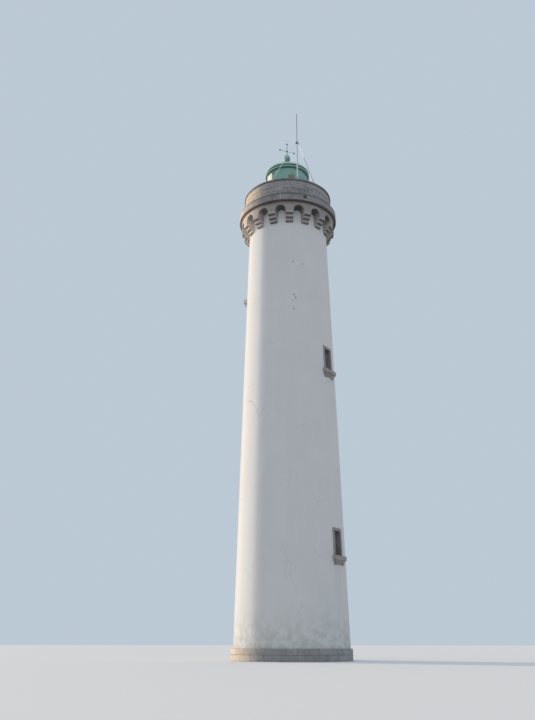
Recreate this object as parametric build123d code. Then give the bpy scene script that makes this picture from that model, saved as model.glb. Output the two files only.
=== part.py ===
from build123d import *
import math
import os

# White-rendered masonry lighthouse with a granite gallery head and a green metal lantern.
# Millimetres, +Z up. The origin is the centre of the flat base. The front is -Y, and an
# azimuth is counted in degrees from -Y towards +X.

# Tower shaft: a tapering round wall about a plain cylindrical well
ground_radius = 3620.0
shaft_taper = 0.027
top_wall_thickness = 790.0
storey_count = 6
first_joint_level = 3460.0
storey_height = 6090.0

# Plinth and ground floor
plinth_projection = 147.0
riser_height = 175.0
riser_count = 4
plinth_ledge = 150.0
ground_floor_thickness = 200.0
plinth_edge = 40.0

# Door steps at the back of the tower
step_going = 320.0
step_width = 1800.0

# Entrance and windows
door_azimuth = 168.75
door_width = 1000.0
door_height = 2200.0
door_surround_width = 220.0
door_leaf_thickness = 70.0
door_leaf_overlap = 65.0
window_azimuths = (58.0, 168.75, 58.0, -101.25)
window_width = 750.0
window_height = 1500.0
window_rise = 2600.0
window_surround_width = 180.0
surround_depth = 350.0
surround_proud = 25.0
window_frame_width = 65.0
window_frame_depth = 90.0
window_pane_thickness = 8.0
sill_course_height = 300.0
sill_lower_projection = 150.0
sill_lower_fascia = 60.0
sill_upper_projection = 220.0
sill_weathering = 30.0
sill_overhang = 90.0
sill_tail = 300.0

# Corbel table and blind arches under the gallery
corbel_count = 16
corbel_azimuth = 2.5
corbel_rise = 1170.0
corbel_course_height = 230.0
corbel_courses = ("corbels_lower", "corbels_middle", "corbels_upper")
corbel_width = 530.0
corbel_nose = 110.0
frieze_projection = 600.0
frieze_height = 740.0
arch_spring_rise = 60.0

# Gallery cornice, floor and parapet
cornice_projection = 180.0
cornice_height = 580.0
cornice_cove = 80.0
cornice_chamfer = 35.0
gallery_floor_thickness = 300.0
gallery_floor_bearing = 100.0
hatch_size = 800.0
parapet_setback = 415.0
parapet_thickness = 300.0
parapet_height = 1290.0
coping_thickness = 140.0
coping_overhang = 70.0
coping_round = 45.0

# Loose stone block on the coping
block_azimuth = 5.2
block_width = 480.0
block_depth = 380.0
block_height = 300.0

# Lantern
lantern_radius = 1560.0
lantern_wall = 60.0
lantern_base_height = 1600.0
lantern_glazed_height = 1850.0
lantern_bay_count = 12
lantern_panel_bays = (-1, 0, 1, 2)
lantern_rail = 80.0
lantern_bar = 55.0
lantern_pane = 12.0
gallery_door_azimuth = 180.0
gallery_door_width = 650.0
gallery_door_height = 1400.0
gallery_door_sill = 100.0
gallery_door_lap = 40.0
gallery_door_thickness = 30.0
gutter_radius = 1670.0
gutter_soffit_rise = 90.0
gutter_fascia = 115.0
gutter_recess = 110.0
gutter_crown = 110.0
gutter_crown_inset = 15.0
gutter_thickness = 40.0
roof_rise = 780.0
roof_sheet = 15.0
roof_crown = 30.0
neck_radius = 480.0
neck_height = 390.0
neck_waist_radius = 285.0
neck_waist_rise = 160.0
neck_top_radius = 130.0
bulb_radius = 240.0
bulb_height = 580.0
bulb_belly_rise = 235.0
bulb_tip_radius = 54.0
bulb_spike = 150.0

# Finial
finial_rod_radius = 18.0
finial_hub_radius = 68.0
finial_knob_radius = 62.0
finial_hub_rise = 230.0
finial_top_rise = 910.0
finial_arm_reach = 600.0
finial_arm_radius = 12.0
finial_azimuth = -66.0

# Mast and its stays on the front of the coping
mast_azimuth = 14.2
mast_radius = 48.0
mast_collar_level = 3140.0
mast_collar_radius = 85.0
mast_collar_height = 130.0
mast_lug_radius = 38.0
mast_height = 5780.0
mast_foot_radius = 120.0
mast_foot_thickness = 20.0
whip_radius = 22.0
stay_radius = 16.0
stay_azimuths = {"stay_left": -22.2, "stay_right": 40.8}
stay_eye_radius = 34.0
stay_eye_height = 70.0
stay_foot_radius = 60.0
stay_foot_thickness = 12.0
sleeve_radius = 42.0
sleeve_length = 1050.0
sleeve_start = 160.0

# Running room round fitted pieces that are set in afterwards, and how far a cut runs past a face
fit_clearance = 0.3
cut_margin = 1.0


def shaft_radius(level):
    """Outer radius of the tapering shaft at a level above the ground."""
    return ground_radius - shaft_taper * level


# Levels and radii that follow from the sizes above
plinth_height = riser_height * riser_count
storey_joints = [first_joint_level + storey_height * index for index in range(storey_count - 1)]
corbel_level = storey_joints[-1] + corbel_rise
frieze_level = corbel_level + corbel_course_height * len(corbel_courses)
cornice_level = frieze_level + frieze_height
gallery_level = cornice_level + cornice_height
shaft_top = gallery_level - gallery_floor_thickness
coping_level = gallery_level + parapet_height
coping_top = coping_level + coping_thickness
well_radius = shaft_radius(shaft_top) - top_wall_thickness
plinth_radius = shaft_radius(plinth_height) + plinth_projection
frieze_radius = shaft_radius(frieze_level) + frieze_projection
cornice_radius = frieze_radius + cornice_projection
parapet_radius = cornice_radius - parapet_setback
parapet_inner_radius = parapet_radius - parapet_thickness
floor_radius = parapet_inner_radius + gallery_floor_bearing
coping_outer_radius = parapet_radius + coping_overhang
coping_inner_radius = parapet_inner_radius - coping_overhang
coping_middle_radius = (coping_outer_radius + coping_inner_radius) / 2
lantern_sill = gallery_level + lantern_base_height
lantern_head = lantern_sill + lantern_glazed_height
lantern_inner_radius = lantern_radius - lantern_wall
fascia_bottom = lantern_head + gutter_soffit_rise
fascia_top = fascia_bottom + gutter_fascia
gutter_crown_bottom = fascia_top + gutter_recess
gutter_top = gutter_crown_bottom + gutter_crown
gutter_crown_radius = gutter_radius - gutter_crown_inset
roof_top = gutter_top + roof_rise
neck_top = roof_top + neck_height
bulb_top = neck_top + bulb_height
spike_top = bulb_top + bulb_spike
lift_joints = [plinth_height] + storey_joints + [shaft_top]


def turned(shape, azimuth):
    """A shape made at the front, turned about the tower's axis."""
    return Rot(0, 0, azimuth) * shape


def revolved(*points):
    """A ring turned from its half section, given as (radius, level) corners."""
    return revolve(Plane.XZ * make_face(Polyline(*points, close=True)), Axis.Z)


def revolved_outline(*edges):
    """A ring turned from a half section whose outline has arcs as well as lines."""
    return revolve(Plane.XZ * make_face(edges), Axis.Z)


def front_box(width, inner, outer, bottom, top):
    """A block centred on the front, between two distances from the axis and two levels."""
    block = Box(width, outer - inner, top - bottom)
    return Pos(0, -(inner + outer) / 2, (bottom + top) / 2) * block


def front_prism(width, *points):
    """A block across the front, from its side profile as (distance from the axis, level)."""
    outline = Polyline(*[(-distance, level) for distance, level in points], close=True)
    return extrude(Plane.YZ * make_face(outline), width / 2, both=True)


def shaft_body(proud, bottom, top):
    """The full round of the shaft between two levels, this much larger all round."""
    return revolved(
        (0, bottom),
        (shaft_radius(bottom) + proud, bottom),
        (shaft_radius(top) + proud, top),
        (0, top),
    )


def write(node, shape):
    """Store one node's solids."""
    export_step(shape, os.path.join("parts", node + ".step"))


def opening_cut(width, bottom, height, band, frame, frame_below):
    """What an opening takes out of the wall: the surround's seat, then the reveal behind it."""
    face = shaft_radius(bottom + height / 2)
    seat = front_box(width + 2 * band, face - surround_depth, face + surround_depth,
                     bottom - frame_below, bottom + height + band)
    reveal = front_box(width + 2 * frame, 0, face, bottom - frame_below, bottom + height + frame)
    return seat + reveal


def surround(width, bottom, height, band):
    """Stone jambs and lintel round an opening, their faces curved with the wall."""
    face = shaft_radius(bottom + height / 2)
    top = bottom + height + band
    inner = face - surround_depth
    outer = face + surround_depth
    stones = front_box(width + 2 * band, inner, outer, bottom, top)
    stones -= front_box(width, inner - band, outer + band, bottom - band, bottom + height)
    return stones & shaft_body(surround_proud, bottom, top)


def window_levels():
    """Each window's azimuth and the level of its sill's top, lowest first."""
    return [(azimuth, joint + window_rise)
            for azimuth, joint in zip(window_azimuths, storey_joints)]


def sill(level):
    """A two-course stone sill: a weathered slab on a stone that tapers back to the wall."""
    face = shaft_radius(level)
    tail = face - sill_tail
    width = window_width + 2 * window_surround_width
    middle = level - sill_course_height
    bottom = middle - sill_course_height
    upper = front_prism(
        width + 2 * sill_overhang,
        (tail, middle),
        (face + sill_upper_projection, middle),
        (face + sill_upper_projection, level - sill_weathering),
        (face + surround_proud, level),
        (tail, level),
    )
    lower = front_prism(
        width,
        (tail, bottom),
        (face, bottom),
        (face + sill_lower_projection, middle - sill_lower_fascia),
        (face + sill_lower_projection, middle),
        (tail, middle),
    )
    return upper + lower


def window_frame(level):
    """The timber frame that stands behind the stone surround."""
    face = shaft_radius(level + window_height / 2) - surround_depth
    inner = face - window_frame_depth
    width = window_width + 2 * window_frame_width
    frame = front_box(width, inner, face, level - window_frame_width,
                      level + window_height + window_frame_width)
    return frame - front_box(window_width, inner - cut_margin, face + cut_margin, level,
                             level + window_height)


def window_pane(level):
    """The glass, filling the frame at half its depth."""
    middle = shaft_radius(level + window_height / 2) - surround_depth - window_frame_depth / 2
    half = window_pane_thickness / 2
    return front_box(window_width, middle - half, middle + half, level, level + window_height)


def plinth():
    """The footing, with a ledge inside that carries the ground floor."""
    ledge_level = plinth_height - ground_floor_thickness
    return revolved(
        (well_radius - plinth_ledge, 0),
        (plinth_radius, 0),
        (plinth_radius, plinth_height - plinth_edge),
        (plinth_radius - plinth_edge, plinth_height),
        (well_radius, plinth_height),
        (well_radius, ledge_level),
        (well_radius - plinth_ledge, ledge_level),
    )


def ground_floor():
    """A round floor slab on the plinth's ledge."""
    return revolved(
        (0, plinth_height - ground_floor_thickness),
        (well_radius, plinth_height - ground_floor_thickness),
        (well_radius, plinth_height),
        (0, plinth_height),
    )


def door_step(index):
    """One stone of the flight, lowest first, fitted to the round plinth."""
    goings = riser_count - 1 - index
    bottom = riser_height * index
    stone = front_box(step_width, 0, plinth_radius + step_going * goings, bottom,
                      bottom + riser_height)
    stone -= Pos(0, 0, plinth_height / 2) * Cylinder(plinth_radius, plinth_height)
    return turned(stone, door_azimuth)


def shaft_lifts():
    """The round wall, one lift a storey, with its doorway and windows cut through."""
    lifts = []
    for bottom, top in zip(lift_joints[:-1], lift_joints[1:]):
        lifts.append(revolved(
            (well_radius, bottom),
            (shaft_radius(bottom), bottom),
            (shaft_radius(top), top),
            (well_radius, top),
        ))
    door = opening_cut(door_width, plinth_height, door_height, door_surround_width,
                       door_leaf_overlap, 0)
    lifts[0] -= turned(door, door_azimuth)
    for index, (azimuth, level) in enumerate(window_levels(), start=1):
        cut = opening_cut(window_width, level, window_height, window_surround_width,
                          window_frame_width, window_frame_width)
        lifts[index] -= turned(cut + sill(level), azimuth)
    return lifts


def door_leaf():
    """The closed entrance door, against the back of its stone surround."""
    face = shaft_radius(plinth_height + door_height / 2) - surround_depth
    width = door_width + 2 * door_leaf_overlap - 2 * fit_clearance
    leaf = front_box(width, face - door_leaf_thickness, face, plinth_height + fit_clearance,
                     plinth_height + door_height + door_leaf_overlap - fit_clearance)
    return turned(leaf, door_azimuth)


def clear_half_width(radius):
    """Half the clear width between two corbels, measured at a distance from the axis."""
    return radius * math.sin(math.pi / corbel_count) - corbel_width / 2


def corbel_stone(course):
    """One projecting stone of a corbel, with a rounded nose, seated on the shaft's face."""
    bottom = corbel_level + corbel_course_height * course
    top = bottom + corbel_course_height
    wall = shaft_radius(frieze_level)
    reach = wall + (frieze_radius - wall) * (course + 1) / len(corbel_courses)
    stone = front_box(corbel_width, wall - corbel_nose, reach, bottom, top)
    nose = stone.edges().filter_by(Axis.X).group_by(Axis.Z)[0].sort_by(Axis.Y)[0]
    stone = fillet(nose, corbel_nose)
    return stone - shaft_body(0, bottom, top)


def around(shape, count, start):
    """Copies of a front shape, evenly spaced about the axis."""
    return [turned(shape, start + 360 / count * index) for index in range(count)]


def arch_cutter():
    """The splayed niche between two corbels: a half cone over a tapering slot."""
    inner = shaft_radius(cornice_level) - corbel_nose
    outer = frieze_radius + corbel_nose
    spring = frieze_level + arch_spring_rise
    inner_half = clear_half_width(inner)
    outer_half = clear_half_width(outer)
    vault = Cone(inner_half, outer_half, outer - inner, align=(Align.CENTER, Align.CENTER, Align.MIN))
    vault = Pos(0, -inner, spring) * Rot(90, 0, 0) * vault
    slot = make_face(Polyline(
        (-inner_half, -inner),
        (-outer_half, -outer),
        (outer_half, -outer),
        (inner_half, -inner),
        close=True,
    ))
    below = frieze_level - corbel_nose
    return vault + Pos(0, 0, below) * extrude(slot, spring - below)


def frieze():
    """The ring of blind arches that stands on the corbels."""
    ring = revolved(
        (shaft_radius(frieze_level), frieze_level),
        (frieze_radius, frieze_level),
        (frieze_radius, cornice_level),
        (shaft_radius(cornice_level), cornice_level),
    )
    first_arch = corbel_azimuth + 180 / corbel_count
    return ring - around(arch_cutter(), corbel_count, first_arch)


def cornice():
    """The coved band under the parapet, rebated for the gallery floor."""
    cove_foot = (cornice_radius - cornice_cove, cornice_level)
    cove_head = (cornice_radius, cornice_level + cornice_cove)
    inner = shaft_radius(cornice_level)
    return revolved_outline(
        Line((inner, cornice_level), cove_foot),
        RadiusArc(cove_foot, cove_head, cornice_cove),
        Polyline(
            cove_head,
            (cornice_radius, gallery_level - cornice_chamfer),
            (cornice_radius - cornice_chamfer, gallery_level),
            (floor_radius, gallery_level),
            (floor_radius, shaft_top),
            (shaft_radius(shaft_top), shaft_top),
            (inner, cornice_level),
        ),
    )


def gallery_floor():
    """The stone floor over the well, with a square hatch inside the lantern."""
    slab = revolved(
        (0, shaft_top),
        (floor_radius, shaft_top),
        (floor_radius, gallery_level),
        (0, gallery_level),
    )
    middle = (shaft_top + gallery_level) / 2
    return slab - Pos(0, 0, middle) * Box(hatch_size, hatch_size, 2 * gallery_floor_thickness)


def parapet():
    """The plain stone wall round the gallery."""
    return revolved(
        (parapet_inner_radius, gallery_level),
        (parapet_radius, gallery_level),
        (parapet_radius, coping_level),
        (parapet_inner_radius, coping_level),
    )


def coping():
    """The overhanging stones on the parapet, with rounded edges."""
    ring = revolved(
        (coping_inner_radius, coping_level),
        (coping_outer_radius, coping_level),
        (coping_outer_radius, coping_top),
        (coping_inner_radius, coping_top),
    )
    return fillet(ring.edges().filter_by(GeomType.CIRCLE), coping_round)


def coping_block():
    """A loose stone left on the coping."""
    half = block_depth / 2
    block = front_box(block_width, coping_middle_radius - half, coping_middle_radius + half,
                      coping_top, coping_top + block_height)
    return turned(block, block_azimuth)


def lantern_base():
    """The drum below the glazing, with its gallery doorway."""
    drum = revolved(
        (lantern_inner_radius, gallery_level),
        (lantern_radius, gallery_level),
        (lantern_radius, lantern_sill),
        (lantern_inner_radius, lantern_sill),
    )
    bottom = gallery_level + gallery_door_sill
    doorway = front_box(gallery_door_width, 0, 2 * lantern_radius, bottom,
                        bottom + gallery_door_height)
    return drum - turned(doorway, gallery_door_azimuth)


def gallery_door():
    """The closed curved door, lapped over the outside of its doorway."""
    bottom = gallery_level + gallery_door_sill - gallery_door_lap
    top = gallery_level + gallery_door_sill + gallery_door_height + gallery_door_lap
    skin = revolved(
        (lantern_radius, bottom),
        (lantern_radius + gallery_door_thickness, bottom),
        (lantern_radius + gallery_door_thickness, top),
        (lantern_radius, top),
    )
    width = gallery_door_width + 2 * gallery_door_lap
    leaf = skin & front_box(width, 0, 2 * lantern_radius, bottom, top)
    return turned(leaf, gallery_door_azimuth)


def lantern_bar_azimuths():
    """Where the upright bars stand, half a bay from the front."""
    bay = 360 / lantern_bay_count
    return [bay * (index + 0.5) for index in range(lantern_bay_count)]


def lantern_frame():
    """Sill rail, head rail and upright bars of the lantern, as one frame."""
    rails = []
    for bottom in (lantern_sill, lantern_head - lantern_rail):
        rails.append(revolved(
            (lantern_inner_radius, bottom),
            (lantern_radius, bottom),
            (lantern_radius, bottom + lantern_rail),
            (lantern_inner_radius, bottom + lantern_rail),
        ))
    band = revolved(
        (lantern_inner_radius, lantern_sill),
        (lantern_radius, lantern_sill),
        (lantern_radius, lantern_head),
        (lantern_inner_radius, lantern_head),
    )
    bar = front_box(lantern_bar, 0, 2 * lantern_radius, lantern_sill, lantern_head) & band
    frame = rails[0] + rails[1]
    for azimuth in lantern_bar_azimuths():
        frame += turned(bar, azimuth)
    return frame


def lantern_bay(index, outer):
    """The sheet that fills one bay between two bars, its outer face at this radius."""
    bottom = lantern_sill + lantern_rail
    top = lantern_head - lantern_rail
    inner = outer - lantern_pane
    half = math.radians(180 / lantern_bay_count)
    ring = revolved((inner, bottom), (outer, bottom), (outer, top), (inner, top))
    reach = 2 * lantern_radius
    shift = lantern_bar / 2
    wedge = make_face(Polyline(
        (0, -shift / math.sin(half)),
        (-reach * math.sin(half), -reach * math.cos(half) - shift / math.sin(half)),
        (reach * math.sin(half), -reach * math.cos(half) - shift / math.sin(half)),
        close=True,
    ))
    bay = ring & Pos(0, 0, bottom) * extrude(wedge, top - bottom)
    return turned(bay, 360 / lantern_bay_count * index)


def gutter():
    """The moulded head ring: rising soffit, fascia, a recess and the crown that overhangs it."""
    recess_radius = lantern_radius + gutter_thickness
    return revolved(
        (lantern_inner_radius, lantern_head),
        (lantern_radius, lantern_head),
        (gutter_radius, fascia_bottom),
        (gutter_radius, fascia_top),
        (recess_radius, fascia_top),
        (recess_radius, gutter_crown_bottom),
        (gutter_crown_radius, gutter_crown_bottom),
        (gutter_crown_radius, gutter_top),
        (lantern_radius, gutter_top),
        (lantern_radius, lantern_head + gutter_thickness),
        (lantern_inner_radius, lantern_head + gutter_thickness),
    )


def roof():
    """A shallow domed sheet from the gutter's crown to the ventilator's neck."""
    outer = gutter_crown_radius
    middle = ((outer + neck_radius) / 2, (gutter_top + roof_top) / 2 + roof_crown)
    lower = roof_sheet
    return revolved_outline(
        ThreePointArc((outer, gutter_top), middle, (neck_radius, roof_top)),
        Line((neck_radius, roof_top), (neck_radius, roof_top + lower)),
        ThreePointArc((neck_radius, roof_top + lower), (middle[0], middle[1] + lower),
                      (outer, gutter_top + lower)),
        Line((outer, gutter_top + lower), (outer, gutter_top)),
    )


def ventilator():
    """Flared neck and bulb of the ventilator, one open-bottomed casting with a solid spike."""
    wall = roof_sheet
    foot = roof_top + roof_sheet
    waist = foot + neck_waist_rise
    belly = neck_top + bulb_belly_rise
    return revolved_outline(
        Line((neck_radius - wall, foot), (neck_radius, foot)),
        ThreePointArc((neck_radius, foot), (neck_waist_radius, waist), (neck_top_radius, neck_top)),
        ThreePointArc((neck_top_radius, neck_top), (bulb_radius, belly), (bulb_tip_radius, bulb_top)),
        Line((bulb_tip_radius, bulb_top), (finial_rod_radius, spike_top)),
        Line((finial_rod_radius, spike_top), (0, spike_top)),
        Line((0, spike_top), (0, bulb_top - wall)),
        Line((0, bulb_top - wall), (bulb_tip_radius - wall, bulb_top - wall)),
        ThreePointArc((bulb_tip_radius - wall, bulb_top - wall), (bulb_radius - wall, belly),
                      (neck_top_radius - wall, neck_top)),
        ThreePointArc((neck_top_radius - wall, neck_top), (neck_waist_radius - wall, waist - wall),
                      (neck_radius - wall, foot)),
    )


def finial_rod():
    """The upright of the finial, with the ball where the arms meet it and a top knob."""
    height = finial_top_rise
    hub = Pos(0, 0, spike_top + finial_hub_rise) * Sphere(finial_hub_radius)
    knob = Pos(0, 0, spike_top + height) * Sphere(finial_knob_radius)
    rod = Pos(0, 0, spike_top + height / 2) * Cylinder(finial_rod_radius, height)
    return rod + hub + knob


def finial_arm():
    """One level arm, from the ball to its end knob, at the front."""
    level = spike_top + finial_hub_rise
    rod = Pos(0, -finial_arm_reach / 2, level) * Rot(90, 0, 0) * Cylinder(
        finial_arm_radius, finial_arm_reach)
    knob = Pos(0, -finial_arm_reach, level) * Sphere(finial_knob_radius)
    return rod + knob - Pos(0, 0, level) * Sphere(finial_hub_radius)


def on_coping(azimuth, level):
    """The point on the coping's middle line at an azimuth, at this height above it."""
    angle = math.radians(azimuth)
    radius = coping_middle_radius
    return Vector(radius * math.sin(angle), -radius * math.cos(angle), coping_top + level)


def upright(azimuth, radius, bottom, top):
    """A round upright on the coping between two heights above it."""
    place = on_coping(azimuth, (bottom + top) / 2)
    return Pos(place.X, place.Y, place.Z) * Cylinder(radius, top - bottom)


def mast_tube():
    """The lower tube of the mast with its foot plate, up to the collar."""
    tube = upright(mast_azimuth, mast_radius, 0, mast_collar_level)
    return tube + upright(mast_azimuth, mast_foot_radius, 0, mast_foot_thickness)


def mast_collar():
    """The clamp at the head of the tube, with a lug for each stay."""
    top = mast_collar_level + mast_collar_height
    collar = upright(mast_azimuth, mast_collar_radius, mast_collar_level, top)
    for azimuth in stay_azimuths.values():
        lug = stay_line(azimuth)[0]
        collar += Pos(lug.X, lug.Y, lug.Z) * Sphere(mast_lug_radius)
    return collar


def mast_whip():
    """The thin upper rod."""
    bottom = mast_collar_level + mast_collar_height
    return upright(mast_azimuth, whip_radius, bottom, mast_height)


def stay_foot(azimuth):
    """An eye bolt on the coping that holds a stay's lower end."""
    plate = upright(azimuth, stay_foot_radius, 0, stay_foot_thickness)
    place = on_coping(azimuth, stay_eye_height)
    eye = Pos(place.X, place.Y, place.Z) * Sphere(stay_eye_radius)
    return plate + upright(azimuth, stay_eye_radius / 2, 0, stay_eye_height) + eye


def stay_line(azimuth):
    """A stay's two ends: the middle of its lug on the collar, then the middle of its eye."""
    middle = on_coping(mast_azimuth, mast_collar_level + mast_collar_height / 2)
    foot = on_coping(azimuth, stay_eye_height)
    outward = Vector(foot.X - middle.X, foot.Y - middle.Y, 0).normalized()
    return middle + outward * mast_collar_radius, foot


def bar_along(start, end, radius, first, last):
    """A round bar on the line between two points, between two distances from the start."""
    direction = (end - start).normalized()
    plane = Plane(origin=start + direction * first, z_dir=direction)
    bar = Cylinder(radius, last - first, align=(Align.CENTER, Align.CENTER, Align.MIN))
    return plane * bar


def stay(azimuth):
    """A straight stay, its ends fitted to the collar and the eye."""
    head, foot = stay_line(azimuth)
    line = bar_along(head, foot, stay_radius, 0, (foot - head).length)
    return line - mast_collar() - stay_foot(azimuth)


def stay_sleeve():
    """The sleeve over the upper part of the right-hand stay."""
    head, foot = stay_line(stay_azimuths["stay_right"])
    last = sleeve_start + sleeve_length
    sleeve = bar_along(head, foot, sleeve_radius, sleeve_start, last)
    bore = bar_along(head, foot, stay_radius + fit_clearance, sleeve_start - cut_margin,
                     last + cut_margin)
    return sleeve - bore


os.makedirs("parts", exist_ok=True)

write("plinth", plinth())
write("ground_floor", ground_floor())
for index in range(riser_count - 1):
    write("door_step_%d" % (index + 1), door_step(index))
for index, lift in enumerate(shaft_lifts(), start=1):
    write("shaft_lift_%d" % index, lift)
write("door_surround", turned(surround(door_width, plinth_height, door_height,
                                       door_surround_width), door_azimuth))
write("door_leaf", door_leaf())

windows = window_levels()
write("window_sills", Compound([turned(sill(level), azimuth) for azimuth, level in windows]))
write("window_surrounds", Compound([
    turned(surround(window_width, level, window_height, window_surround_width), azimuth)
    for azimuth, level in windows
]))
write("window_frames", Compound([turned(window_frame(level), azimuth) for azimuth, level in windows]))
write("window_panes", Compound([turned(window_pane(level), azimuth) for azimuth, level in windows]))

for course, node in enumerate(corbel_courses):
    write(node, Compound(around(corbel_stone(course), corbel_count, corbel_azimuth)))
write("frieze", frieze())
write("cornice", cornice())
write("gallery_floor", gallery_floor())
write("parapet", parapet())
write("coping", coping())
write("coping_block", coping_block())

write("lantern_base", lantern_base())
write("gallery_door", gallery_door())
write("lantern_frame", lantern_frame())
panes = [index for index in range(lantern_bay_count)
         if index not in [bay % lantern_bay_count for bay in lantern_panel_bays]]
write("lantern_panels", Compound([lantern_bay(bay, lantern_radius) for bay in lantern_panel_bays]))
write("lantern_glass", Compound([lantern_bay(bay, lantern_radius) for bay in panes]))
write("gutter", gutter())
write("lantern_roof", roof())
write("ventilator", ventilator())
write("finial_rod", finial_rod())
write("finial_arms", Compound(around(turned(finial_arm(), finial_azimuth), 2, 0)))

write("mast_tube", mast_tube())
write("mast_collar", mast_collar())
write("mast_whip", mast_whip())
write("stay_feet", Compound([stay_foot(azimuth) for azimuth in stay_azimuths.values()]))
for node, azimuth in stay_azimuths.items():
    write(node, stay(azimuth))
write("stay_sleeve", stay_sleeve())
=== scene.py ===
"""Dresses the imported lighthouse: limewash, worn stones, old metal, joinery, stage and camera.

Sizes are in metres. Azimuths are in degrees, counted from the front (-Y) towards +X, and every
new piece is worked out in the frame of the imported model, so that it goes where the model says.
"""

import logging
import math
from collections.abc import Callable
from dataclasses import dataclass
from enum import Enum
from functools import cached_property

import bmesh
import bpy
import numpy as np
from mathutils import Matrix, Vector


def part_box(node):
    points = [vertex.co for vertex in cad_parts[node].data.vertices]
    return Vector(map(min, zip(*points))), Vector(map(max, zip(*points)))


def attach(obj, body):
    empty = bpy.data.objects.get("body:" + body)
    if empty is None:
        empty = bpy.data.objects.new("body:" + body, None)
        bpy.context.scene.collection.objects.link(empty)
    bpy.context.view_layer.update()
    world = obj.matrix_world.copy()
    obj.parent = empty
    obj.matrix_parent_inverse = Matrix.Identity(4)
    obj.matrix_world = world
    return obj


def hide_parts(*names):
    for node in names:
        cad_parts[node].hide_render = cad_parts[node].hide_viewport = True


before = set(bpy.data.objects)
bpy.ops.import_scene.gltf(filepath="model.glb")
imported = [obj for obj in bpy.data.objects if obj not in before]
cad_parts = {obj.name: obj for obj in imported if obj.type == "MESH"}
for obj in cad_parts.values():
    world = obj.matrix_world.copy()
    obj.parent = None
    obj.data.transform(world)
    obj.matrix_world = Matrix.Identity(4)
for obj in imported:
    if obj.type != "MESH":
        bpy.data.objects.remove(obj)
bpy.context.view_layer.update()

LOG = logging.getLogger("lighthouse")
TURN = 2.0 * math.pi
UP = (0.0, 0.0, 1.0)
# The azimuth of the sunlit side, where the finishes paint sunlight into their colours.
SUNLIT_AZIMUTH = -100.0
Colour = tuple[float, float, float]
Pairs = tuple[tuple[float, float], ...]
Mesh = tuple[np.ndarray, list[np.ndarray]]
Looks = dict[str, bpy.types.Material]


class Slot(Enum):
    """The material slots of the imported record."""

    RENDER = "white_render"
    GRANITE = "granite"
    FLOOR = "floor_stone"
    WOOD = "painted_wood"
    GLASS = "window_glass"
    GREEN = "green_paint"
    IRON = "dark_iron"
    MAST = "mast_metal"
    SLEEVE = "white_sleeve"


class Haze:
    """Smooth seeded noise over space."""

    def __init__(self, seed: int) -> None:
        """Draws the lattice of random values from a seed."""
        self.table = np.random.default_rng(seed).uniform(-1.0, 1.0, (16, 16, 16))

    def at(self, points: np.ndarray, size: float) -> np.ndarray:
        """Noise from -1 to 1: lattice values a size apart, blended along each axis by 3f^2 - 2f^3.

        Args:
            points: points in metres, the last axis of the array.
            size: the distance between lattice values.

        Returns:
            One value for each point.
        """
        scaled = points / size
        base = np.floor(scaled).astype(int)
        part = scaled - base
        part = part * part * (3.0 - 2.0 * part)
        total = np.zeros(points.shape[:-1])
        for corner in np.ndindex(2, 2, 2):
            pick = (base + np.array(corner)) % 16
            weight = np.prod(np.where(np.array(corner, bool), part, 1.0 - part), axis=-1)
            total += weight * self.table[pick[..., 0], pick[..., 1], pick[..., 2]]
        return total

    def worn(self, points: np.ndarray, size: float, depth: float) -> np.ndarray:
        """Moves points by noise in each direction, the same noise read at three far places.

        Args:
            points: the points to move.
            size: the breadth of the unevenness.
            depth: the most that a point moves in one direction.

        Returns:
            The moved points.
        """
        shifts = [self.at(points + offset, size) for offset in (0.0, 31.7, 77.1)]
        return points + depth * np.stack(shifts, axis=-1)


def unit(vectors: np.ndarray) -> np.ndarray:
    """Vectors brought to a length of one."""
    return vectors / np.maximum(np.linalg.norm(vectors, axis=-1, keepdims=True), 1e-12)


def polar(radius: np.ndarray, degrees: np.ndarray, level: np.ndarray) -> np.ndarray:
    """Points from a distance to the axis r, an azimuth a and a level z: (r sin a, -r cos a, z)."""
    radius, angle, level = np.broadcast_arrays(radius, np.radians(degrees), level)
    return np.stack((radius * np.sin(angle), -radius * np.cos(angle), level), axis=-1)


def from_axis(points: np.ndarray) -> np.ndarray:
    """The distance of each point from the tower's axis."""
    return np.hypot(points[..., 0], points[..., 1])


def turn_from(place: float, azimuth: np.ndarray) -> np.ndarray:
    """The turn from a place to other azimuths, from -180 to 180 degrees."""
    return (azimuth - place + 180.0) % 360.0 - 180.0


def node_points(node: str) -> np.ndarray:
    """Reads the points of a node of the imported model.

    Args:
        node: the name of the node.

    Returns:
        Its points, one a row.
    """
    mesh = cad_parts[node].data
    flat = np.zeros(len(mesh.vertices) * 3, np.float32)
    mesh.vertices.foreach_get("co", flat)
    return flat.reshape(-1, 3).astype(float)


def reach(node: str, low: float = -1e9, high: float = 1e9) -> float:
    """The greatest distance from the axis of a node's points between two levels."""
    points = node_points(node)
    return float(from_axis(points[(points[:, 2] > low) & (points[:, 2] < high)]).max())


def levels(node: str) -> tuple[float, float]:
    """The lowest and the highest level of a node."""
    low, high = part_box(node)
    return low.z, high.z


def azimuth_of(point: np.ndarray) -> float:
    """The azimuth of a point."""
    return math.degrees(math.atan2(point[0], -point[1]))


def window_places() -> Pairs:
    """The azimuth and the sill's level of each window, from its pane, lowest first."""
    points = node_points("window_panes")
    edges = np.unique(points[:, 2].round(3))
    return tuple((azimuth_of(points[np.abs(points[:, 2] - low) < 0.01].mean(axis=0)), float(low))
                 for low in edges[::2])


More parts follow.
